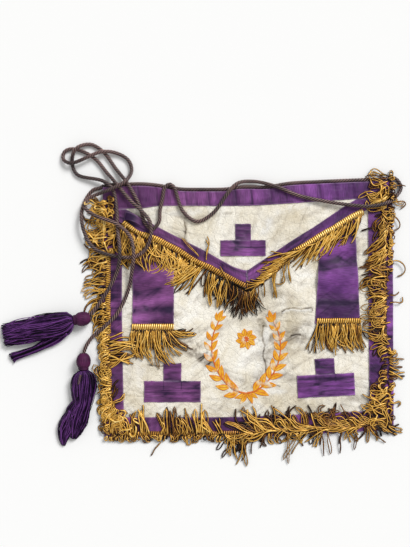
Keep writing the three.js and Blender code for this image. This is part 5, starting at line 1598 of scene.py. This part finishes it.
# Loose strands by fringe: x, y, lean, bend, hook, length, half width of a loop, age
LOOSE_STRANDS = {
    "bottom": [
        (-120, -184, -125, 12, 0, 24, 0, 0.6), (20, -172, -140, 60, 0, 34, 0, 0.8),
        (24, -174, -120, 10, 0, 20, 0, 0.8), (54, -168, -78, 0, 0, 44, 2, 0.5),
        (72, -168, -112, 6, 0, 44, 3, 0.5), (86, -168, -125, 10, 0, 40, 0, 0.45),
        (100, -168, -62, -20, 0, 36, 0, 0.7), (112, -168, -95, 10, 0, 32, 2.5, 0.6),
        (128, -130, -64, 8, 0, 44, 0, 0.7), (132, -168, -100, 12, 0, 32, 0, 0.8),
        (150, -166, -76, -20, 0, 28, 2, 0.7), (170, -168, -55, 20, 0, 28, 0, 0.6),
    ],
    "right": [
        (196, 152, -20, 30, -160, 34, 0, 0.6), (196, 166, 30, -40, 0, 24, 0, 0.7),
        (196, 130, 10, -120, -60, 34, 0, 0.6), (196, 64, 30, -140, -60, 44, 0, 0.45),
        (196, 8, 20, -40, 120, 26, 0, 0.5), (196, -70, 20, -30, 0, 22, 0, 0.5),
        (196, 20, -10, 60, 0, 16, 0, 0.6), (190, 30, 176, 0, 0, 30, 5.5, 0.3),
        (192, 8, 186, 0, 0, 32, 6, 0.3), (190, -14, 182, 0, 0, 31, 5.5, 0.3),
        (196, 150, -8, -20, 60, 22, 2.5, 0.4),
    ],
    "left": [
        (-206, 66, 205, -60, 0, 18, 0, 0.8), (-197, -104, 122, 0, 0, 29, 6, 0.15),
        (-196, -106, 116, 0, 0, 26, 4, 0.25), (-199, -96, 150, 40, 0, 14, 4, 0.3),
        (-197, -128, 118, 0, 0, 20, 4, 0.25),
    ],
    "flap_left": [
        (-66, 70, 120, 14, 0, 36, 1.4, 0.35), (-57, 66, 96, -70, 80, 34, 0, 0.25),
        (-58, 66, 90, -50, 60, 30, 0, 0.3), (-40, 62, -60, -30, 0, 40, 0, 0.4),
    ],
    "flap_right": [
        (23, 45, -100, 10, 0, 26, 0, 0.5), (34, 52, -90, -8, 0, 34, 0, 0.25),
        (36, 53, -88, -8, 0, 36, 0, 0.3), (38, 55, -88, -6, 0, 36, 0, 0.2),
        (40, 57, -90, -6, 0, 34, 0, 0.35), (54, 68, -96, 6, 0, 30, 0, 0.3),
        (56, 70, -92, 4, 0, 32, 0, 0.2), (58, 71, -90, 4, 0, 30, 0, 0.35),
        (50, 66, -104, 40, -120, 40, 0, 0.35), (12, 34, -52, -80, 0, 24, 0, 0.7),
    ],
}


def loose_strands(lay, key, seed):
    """Single strands that have come away from their fringe and lie where they fell."""
    x, y, lean, bend, hook, length, gap, age = np.array(LOOSE_STRANDS[key], float).T
    calm = np.full(len(x), 0.25)
    rows = (lean, bend, hook, length, calm, gap, age)
    return strand_meshes(lay, (x, y), rows, 3.0 + 0 * x, 0 * x, seed, 1.0)


def add_fringes(lay, material):
    def left_root(y):
        return left_edge(y) + HEADER_LEFT_IN - 2, y

    def right_root(y):
        return read_table(HEADER_RIGHT, y) + 7, y

    def bottom_root(x):
        return x, bottom_edge(x) + read_table(BOTTOM_HEADER, x) - 1.5

    def flap_left_root(x):
        return x, read_table(FLAP_HEADER_LEFT, x) - 1.5

    def flap_right_root(x):
        return x, read_table(FLAP_HEADER_RIGHT, x) - 1.5

    def tab_left_root(x):
        return x, np.full_like(x, TAB_SEAMS["left"])

    def tab_right_root(x):
        return x, np.full_like(x, TAB_SEAMS["right"])

    def header(start, end, root_at, shift, age, width, sunk=0.0):
        places = np.linspace(start, end, 80)
        x, y = root_at(places)
        return header_braid(lay, x + shift[0], y + shift[1], width, age, sunk)

    def left_edge_root(y):
        return left_edge(y) + HEADER_LEFT_IN + 2.5, y

    def over_left(y):
        return left_edge(y) + 1 + 0 * y, y

    def over_right(y):
        return right_edge(y) - np.where(y < 120, 9, 16), y

    def over_bottom(x):
        return x + 14, bottom_edge(x) + 17

    def over_corner(y):
        return right_edge(y) - 18, y

    # Masses and layers say where their roots are, their table, pitch, seed, height of the pile and thread. A
    # header says its ends, its line and how far it is moved from there, ages at its ends, width, share sunk.
    fringes = {
        "left": [
            *fringe_mass(lay, left_root, LEFT_MASS, 3.2, 301),
            *fringe_mass(lay, left_root, LEFT_INWARD, 2.7, 321),
            fringe_layer(lay, over_left, LEFT_CURLS, 2.3, 331, 4.0, scatter=5),
            fringe_layer(lay, left_edge_root, LEFT_OVER_HEADER, 3.0, 336, 3.4, scatter=1.6),
            header(-150, 74, left_root, (1.5, 0), (0.15, 0.2), 7.5, 0.8),
        ],
        "right": [
            *fringe_mass(lay, right_root, RIGHT_MASS, 3.4, 341),
            *fringe_mass(lay, right_root, RIGHT_OUTWARD, 3.4, 361, 2.0),
            fringe_layer(lay, over_right, RIGHT_CURLS, 3.5, 351, 4.0, scatter=4),
            fringe_layer(lay, over_corner, CORNER_RIGHT_CURLS, 2.6, 356, 3.4, scatter=6),
            header(-160, 40, right_root, (-3.5, 0), (0.45, 0.55), 5.0, 0.9),
        ],
        "bottom": [
            *fringe_mass(lay, bottom_root, BOTTOM_MASS, 3.1, 381),
            fringe_layer(lay, bottom_root, BOTTOM_FILL, 2.8, 391, 3.2),
            *fringe_mass(lay, bottom_root, BOTTOM_HANGING, 3.6, 401, 1.2),
            fringe_layer(lay, over_bottom, CORNER_LEFT_CURLS, 2.1, 411, 3.4, scatter=6),
            header(-190, 200, bottom_root, (0, 1.5), (0.3, 0.4), 7.5, 0.75),
        ],
        "flap_left": [
            *fringe_mass(lay, flap_left_root, FLAP_LEFT_MASS, 2.5, 421),
            fringe_layer(lay, flap_left_root, FLAP_LEFT_END, 1.5, 426, 2.6, scatter=2.0),
            fringe_layer(lay, flap_left_root, FLAP_LEFT_BUNCH, 1.5, 428, 2.6, scatter=1.2),
            fringe_layer(lay, flap_left_root, FLAP_TIP_HAIR, 0.6, 431, 4.0, 0.6),
            header(-174, -3, flap_left_root, (0, 1.5), (0.1, 0.3), 9.0),
        ],
        "flap_right": [
            *fringe_mass(lay, flap_right_root, FLAP_RIGHT_MASS, 1.85, 441, 2.6, 1.02),
            fringe_layer(lay, flap_right_root, FLAP_TIP_HAIR_RIGHT, 0.6, 451, 4.0, 0.6),
            header(-2, 161, flap_right_root, (0, 1.5), (0.4, -0.12), 9.5),
        ],
        "tab_left": [
            *fringe_mass(lay, tab_left_root, TAB_LEFT_MASS, 1.12, 461, 3.0, 0.98),
            header(-162, -103, tab_left_root, (0, 2.5), (0.05, 0.05), 9.0),
        ],
        "tab_right": [
            *fringe_mass(lay, tab_right_root, TAB_RIGHT_MASS, 1.12, 481, 3.0, 0.98),
            header(96, 158, tab_right_root, (0, 2), (0.15, 0.15), 8.0),
        ],
    }
    for number, key in enumerate(LOOSE_STRANDS):
        fringes[key].append(loose_strands(lay, key, 490 + number))
    nodes = {
        "left": "fringe_left", "right": "fringe_right", "bottom": "fringe_bottom",
        "flap_left": "flap_fringe_left", "flap_right": "flap_fringe_right",
        "tab_left": "tab_fringe_left", "tab_right": "tab_fringe_right",
    }
    for key, parts in fringes.items():
        points, faces, age, uv = join_meshes(parts)
        piece = mesh_piece(f"looped_fringe_{key}", points, faces, material, {"age": age}, uv)
        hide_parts(nodes[key])


# Tassels: sections along each skirt as (x, y, half width, half height), and each head's middle and turn
UPPER_SKIRT = [
    (-242.3, -15.4, 6.5, 6.5), (-247, -16.2, 13, 8), (-258, -20.5, 17, 8.5), (-275, -24, 17.5, 8),
    (-300, -28.5, 16, 7), (-322, -33, 15, 6), (-334, -35.5, 14, 5), (-342, -37, 14, 4),
]
UPPER_LOCK = [
    (-252, -31, 5, 6), (-268, -41, 7, 5), (-285, -50, 6, 4), (-300, -57, 5, 3.5), (-316, -63, 5, 3),
    (-326, -66, 5.5, 2.5), (-331, -69, 7.5, 2.2),
]
LOWER_SKIRT = [
    (-228, -84.8, 6.5, 6.5), (-227.5, -89, 13, 8), (-228, -100, 17, 8.5), (-229, -116, 16, 8),
    (-229.5, -130, 13, 7.5), (-236, -144, 15.5, 7), (-240, -158, 15, 6), (-241, -166, 12, 5),
    (-242, -174, 8, 4), (-243, -181, 3.5, 3),
]
LOWER_LOCK = [
    (-243, -142, 8, 5), (-249, -154, 10, 5), (-253, -166, 11, 5), (-256, -176, 8, 4), (-257, -184, 5, 3),
    (-257, -191, 2, 1.5),
]
TASSEL_HEADS = {"upper": (-230, -13.3, 188.6), "lower": (-228, -72.5, 270)}
HEAD_LENGTH = 23
# The stub of cord on the lower skirt: its two ends
CORD_STUB = [(-231, -90, 17.8), (-233.5, -103, 18.4)]
HEAD_RADIUS = 10
HEAD_PROFILE = [
    (0, 0.5), (0.03, 0.56), (0.1, 0.72), (0.22, 0.9), (0.42, 1.0), (0.6, 0.99), (0.74, 0.9), (0.84, 0.74),
    (0.9, 0.7), (0.96, 0.72), (1.0, 0.66),
]
# Where a head's neck starts and each turn of thread on it, as shares of its length, and half its ridges
NECK = 0.86
NECK_TURN = 0.047
HALF_RIDGES = 13

# Tassels: sections of the skirt and threads in it, the same for its loose lock, and a seed
TASSELS = {
    "upper": (UPPER_SKIRT, 520, UPPER_LOCK, 110, 501),
    "lower": (LOWER_SKIRT, 520, LOWER_LOCK, 190, 511),
}
FLOSS = 0.5
FLOSS_STEPS = 18

# How far below its head a skirt has sunk from the head's height to the surface
SKIRT_SINKS = 14


def skirt_span(rows):
    """How far along a skirt each of its sections lies."""
    return np.concatenate([[0], np.cumsum(np.hypot(*np.diff(rows[:, :2], axis=0).T))])


def skirt_sections(rows, s, at):
    """A skirt's place, half width, half height and height of its middle, at each distance along it."""
    x, y, wide, high = [read_table(list(zip(s, column)), at) for column in rows.T]
    middle = high + 0.5 + (HEAD_RADIUS - rows[0, 3] - 0.4) * np.clip(1 - at / SKIRT_SINKS, 0, 1) ** 2
    return x, y, wide, high, middle


def floss(rows, count, seed, shell=0.35):
    """Threads of a tassel, side by side along its sections: each keeps its own place (out, up) in the oval.

    A thread's place is section middle + side * half width * out + up * half height * up, and out wanders by a
    slow sine that grows towards the cut end. Ends differ by a few millimetres.
    """
    rng = np.random.default_rng(seed)
    rows = np.array(rows, float)
    s = skirt_span(rows)
    t = np.linspace(0, 1, FLOSS_STEPS)[None, :]
    at = s[-1] * t * rng.uniform(0.93, 1.0, (count, 1))
    x, y, wide, high, middle = skirt_sections(rows, s, at)
    along = np.stack([np.gradient(x, axis=1), np.gradient(y, axis=1)])
    along /= np.hypot(*along)
    angle = rng.uniform(0, 2 * np.pi, (count, 1))
    far = np.sqrt(rng.uniform(shell, 1, (count, 1)))
    swing = rng.uniform(0.05, 0.26, (count, 1))
    beat = rng.uniform(0.6, 1.6, (count, 1))
    wander = swing * np.sin(2 * np.pi * (beat * t + angle))
    out = far * np.cos(angle) + wander * t**0.5
    up = far * np.sin(angle) + 0.5 * wander
    z = np.maximum(middle + high * up, FLOSS + 0.1)
    paths = np.stack([x - along[1] * wide * out, y + along[0] * wide * out, z], axis=-1)
    points, faces = tubes(paths, FLOSS, 3)
    lock = noise(2.2 * angle, 3 * far, 1, seed + 9) - 0.5
    # Painted light: threads higher in the skirt lighter, and on each thread the upper side lighter and the
    # others darker, over tone that differs at random
    tone = np.clip(rng.normal(0.4, 0.3, (count, 1)) + 0.25 * far * np.sin(angle) + 0.7 * lock, 0, 1.2)
    tone = tone[..., None] + np.array([-0.1, 0.18, -0.2]) + 0 * t[..., None]
    return points, faces, tone.ravel()


def floss_core(rows):
    """The inside of a skirt, painted in the darkest tone as shade: one closed form with oval sections, four
    fifths of the skirt's.
    """
    rings = 24
    sides = 18
    rows = np.array(rows, float)
    s = skirt_span(rows)
    x, y, wide, high, middle = skirt_sections(rows, s, np.linspace(0, 0.94 * s[-1], rings))
    angle = 2 * np.pi * np.arange(sides) / sides
    oval = 0.8 / np.hypot(np.cos(angle) / wide[:, None], np.sin(angle) / high[:, None])
    points, faces = tubes(np.stack([x, y, middle], axis=-1)[None], oval[None], sides)
    return points, faces, np.zeros(len(points))


def tassel_head(key):
    """A wound head: its profile turned about its axis, ridged by the threads, with three turns at the neck.

    The radius is the profile times 0.96 + 0.035 |cos 13 angle|, the ridges leaning a little round the axis.
    """
    cx, cy, turn = TASSEL_HEADS[key]
    u = np.linspace(0, 1, 60)
    direction = np.array([*turning(turn), 0])
    path = np.array([cx, cy, HEAD_RADIUS + 0.1]) + (u[:, None] - 0.5) * HEAD_LENGTH * direction
    sides = 52
    angle = 2 * np.pi * np.arange(sides)[None] / sides
    ridge = np.abs(np.cos(HALF_RIDGES * (angle + 0.3 * u[:, None])))
    neck = u[:, None] > NECK
    turns = np.abs(np.sin(np.pi * (u[:, None] - NECK) / NECK_TURN))
    form = np.where(neck, 0.95 + 0.08 * turns, 0.96 + 0.035 * ridge)
    section = HEAD_RADIUS * read_table(HEAD_PROFILE, u)[:, None] * form
    # Painted shade between the ridges and the neck's turns, and painted light on the upper side
    tone = np.where(neck, 0.1 + 0.4 * turns, 0.25 + 0.45 * ridge) + 0.15 * np.sin(angle)
    points, faces = tubes(path[None], section[None], sides)
    return points, faces, tone.ravel()


def floss_material(name, stops, roughness):
    # Rayon floss, dyed: soft shine along the threads, painted shade near black between them and painted light
    # on their upper sides
    material, tree, surface = new_material(name)
    place = add(tree, "ShaderNodeTexCoord")
    tone = add(tree, "ShaderNodeAttribute", attribute_name="tone")
    uneven = add(tree, "ShaderNodeTexNoise", {"Vector": (place, "Object"), "Scale": 90.0, "Detail": 2.0})
    shifted = add(tree, "ShaderNodeMath", {0: (uneven, "Fac"), 1: 0.5, 2: -0.25}, operation="MULTIPLY_ADD")
    total = add(tree, "ShaderNodeMath", {0: (tone, "Fac"), 1: (shifted, "Value")}, operation="ADD")
    colour = add(tree, "ShaderNodeValToRGB", {"Fac": (total, "Value")}, stops=stops)
    fine = add(tree, "ShaderNodeTexNoise", {"Vector": (place, "Object"), "Scale": 1400.0, "Detail": 1.0})
    bump = add(tree, "ShaderNodeBump", {"Height": (fine, "Fac"), "Strength": 0.25, "Distance": 0.0003})
    tree.links.new(colour.outputs["Color"], surface.inputs["Base Color"])
    tree.links.new(bump.outputs["Normal"], surface.inputs["Normal"])
    surface.inputs["Roughness"].default_value = roughness
    surface.inputs["Specular IOR Level"].default_value = 0.2
    return material


def add_tassels(cord):
    skirt_material = floss_material(
        "rayon_floss_dyed_violet",
        [(0.0, "#060108"), (0.35, "#14051D"), (0.7, "#300F40"), (1.0, "#7A4490")], 0.55,
    )
    head_material = floss_material(
        "wound_rayon_floss_faded",
        [(0.0, "#10040E"), (0.4, "#300F2E"), (0.75, "#521D46"), (1.0, "#84486E")], 0.6,
    )
    made = {}
    for key, (skirt_rows, skirt_threads, lock_rows, lock_threads, seed) in TASSELS.items():
        full = floss(skirt_rows, skirt_threads, seed)
        lock = floss(lock_rows, lock_threads, seed + 1, 0.0)
        points, faces, tone = join_meshes([full, lock, floss_core(skirt_rows)])
        skirt = mesh_piece(
            f"{key}_tassel_floss", points, faces, skirt_material, attributes={"tone": tone}
        )
        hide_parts(f"{key}_tassel_skirt")
        points, faces, tone = tassel_head(key)
        head = mesh_piece(
            f"{key}_tassel_wound_head", points, faces, head_material, attributes={"tone": tone}
        )
        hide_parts(f"{key}_tassel_head")
        made[key] = [head, skirt]
    made["lower"].append(add_cord_stub(cord))
    return made


def add_cord_stub(material):
    """The cut end of the cord, pulled through the lower tassel's head and laid on its skirt."""
    rings = 12
    sides = 10
    line = np.linspace(*CORD_STUB, rings)
    turned = np.linspace(0, 10, rings)
    thin = 0.62 * (1 - 0.3 * np.linspace(0, 1, rings) ** 3)
    points, faces = tubes(line[None], CORD_RADIUS * thin[None], sides)
    ply = np.abs(np.cos(CORD_PLIES / 2 * (2 * np.pi * np.arange(sides) / sides - turned[:, None])))
    return mesh_piece(
        "lower_tassel_cord_end", points, faces, material, attributes={"ply": ply.ravel()}
    )


# A painted ornament on the body: two leafy sprays that rise from a bow, with a rosette between their ends
SPRAY_LEFT = [(4, -119), (-14, -114), (-31, -100), (-43, -80), (-48, -58), (-46, -36), (-38, -16)]
SPRAY_RIGHT = [(-4, -119), (14, -114), (31, -100), (43, -80), (48, -58), (46, -36), (38, -16)]
SPRAY_MIDDLE_X = -2

# Leaves beside each stem: their size at its foot, their angles to it, and how many pairs
LEAF_LENGTH = 22
LEAF_WIDTH = 9.5
LEAF_TURNS = (-34, 36)
SPRAY_LEAVES = 9

# The rosette's middle and how many petals it has, the bow's leaves as angles, and the paint's thickness
ROSETTE = (-2, -42)
PETALS = 8
BOW_TURNS = (205, 240, 300, 335)
PAINT = 0.18


def painted(x, y, edge):
    """A film of paint on the leather over a grid: its under side lies just inside the leather."""
    near, rise = crack(x, y)
    surface = raised(x, y) + BODY_TOP + rise - 0.5 * near
    points, faces = closed_sheet(x, y, surface - 0.1, surface + PAINT)
    return points, faces, both_sides(edge)


def leaf(cx, cy, turn, length, width):
    """A leaf on a grid: half width sin(pi u)^0.8 (1.15 - 0.45 u) width / 2 at u along its midrib."""
    u = np.linspace(0.0, 1, 17)[None, :]
    v = np.linspace(-1, 1, 9)[:, None]
    half = 0.12 + width / 2 * np.sin(np.pi * u) ** 0.8 * (1.15 - 0.45 * u)
    along = length * u + 0 * v
    across = half * v + 0.08 * length * np.sin(np.pi * u)
    c, s = turning(turn)
    edge = np.maximum(np.abs(v) ** 3, 0.9 * bell(v, 0.16)) + 0 * u
    edge = np.maximum(edge, np.clip(6 * (u - 0.85), 0, 1))
    return painted(cx + along * c - across * s, cy + along * s + across * c, edge)


def add_painted_ornament():
    material = paint_material()
    parts = []
    for line in (SPRAY_LEFT, SPRAY_RIGHT):
        stem = np.array([(x + SPRAY_MIDDLE_X, y, 0) for x, y in line])
        line, at = smooth_route(stem, 1.5)
        tangent = np.gradient(line, axis=0)
        heading = np.degrees(np.arctan2(tangent[:, 1], tangent[:, 0]))
        v = np.linspace(-1, 1, 3)[:, None]
        normal = tangent[:, :2] / np.hypot(tangent[:, 0], tangent[:, 1])[:, None]
        wide = 1.3 - 0.6 * at / at[-1]
        x = line[None, :, 0] - normal[None, :, 1] * wide * v
        y = line[None, :, 1] + normal[None, :, 0] * wide * v
        parts.append(painted(x, y, 0.75 + 0 * x))
        for step, place in enumerate(np.linspace(14, at[-1] - 2, SPRAY_LEAVES)):
            i = int(np.searchsorted(at, place))
            size = 1 - 0.05 * step
            for turn in LEAF_TURNS:
                parts.append(leaf(*line[i, :2], heading[i] + turn, LEAF_LENGTH * size, LEAF_WIDTH * size))
        parts.append(leaf(*line[-1, :2], heading[-1], 16, 7))
    for number in range(PETALS):
        turn = 360 / PETALS * number + 10
        c, s = turning(turn)
        parts.append(leaf(ROSETTE[0] + 3.5 * c, ROSETTE[1] + 3.5 * s, turn, 11.5, 8.5))
    angle = np.linspace(0, 2 * np.pi, 25)[None, :]
    disc = np.linspace(0.05, 3.6, 5)[:, None]
    ring_x = ROSETTE[0] + disc * np.cos(-angle)
    ring_y = ROSETTE[1] + disc * np.sin(-angle)
    parts.append(painted(ring_x, ring_y, 0.9 + 0 * ring_x))
    for turn in BOW_TURNS:
        parts.append(leaf(SPRAY_MIDDLE_X, -117, turn, 18, 7))
    points, faces, edge = join_meshes(parts)
    mesh_piece("painted_leaf_ornament", points, faces, material, attributes={"edge": edge})


def paint_material():
    # Hand-laid water paint: ochre yellow filled in unevenly, outlined in brick orange, rubbed away in places
    material, tree, surface = new_material("water_paint_worn")
    place = add(tree, "ShaderNodeTexCoord")
    edge = add(tree, "ShaderNodeAttribute", attribute_name="edge")
    strokes = add(tree, "ShaderNodeTexNoise", {"Vector": (place, "Object"), "Scale": 160.0, "Detail": 3.0})
    fill = add(
        tree, "ShaderNodeValToRGB", {"Fac": (strokes, "Fac")},
        stops=[(0.3, "#D98A18"), (0.5, "#E9A81F"), (0.7, "#F3C44A")],
    )
    outline = add(
        tree, "ShaderNodeMapRange",
        {"Value": (edge, "Fac"), "From Min": 0.35, "From Max": 0.8, "To Max": 0.9},
    )
    drawn = add(
        tree, "ShaderNodeMix",
        {"Factor": (outline, "Result"), "A": (fill, "Color"), "B": linear("#D0552B")},
        data_type="RGBA",
    )
    rub = add(tree, "ShaderNodeTexNoise", {"Vector": (place, "Object"), "Scale": 55.0, "Detail": 6.0})
    rubbed = add(
        tree, "ShaderNodeMapRange",
        {"Value": (rub, "Fac"), "From Min": 0.56, "From Max": 0.66, "To Max": 0.85},
    )
    worn = add(
        tree, "ShaderNodeMix",
        {"Factor": (rubbed, "Result"), "A": (drawn, "Result"), "B": linear("#E6DDC9")},
        data_type="RGBA",
    )
    tree.links.new(worn.outputs["Result"], surface.inputs["Base Color"])
    surface.inputs["Roughness"].default_value = 0.75
    surface.inputs["Specular IOR Level"].default_value = 0.3
    return material


aim_camera()
light_studio()
cord = cord_material()
cord_lines, cords = add_cords(cord)
leather = leather_material()
ribbon = ribbon_material()
add_leather(leather)
add_band_and_borders(ribbon)
add_flap_ribbons(ribbon)
add_ornaments(ribbon)
add_tabs(ribbon)
add_fringes(Lay([line for line, _ in cord_lines.values()]), gold_thread_material())
add_painted_ornament()
tassels = add_tassels(cord)
declare_cord(cords["right"], *cord_lines["right"], tassels["upper"])
declare_cord(cords["left"], *cord_lines["left"], tassels["lower"])
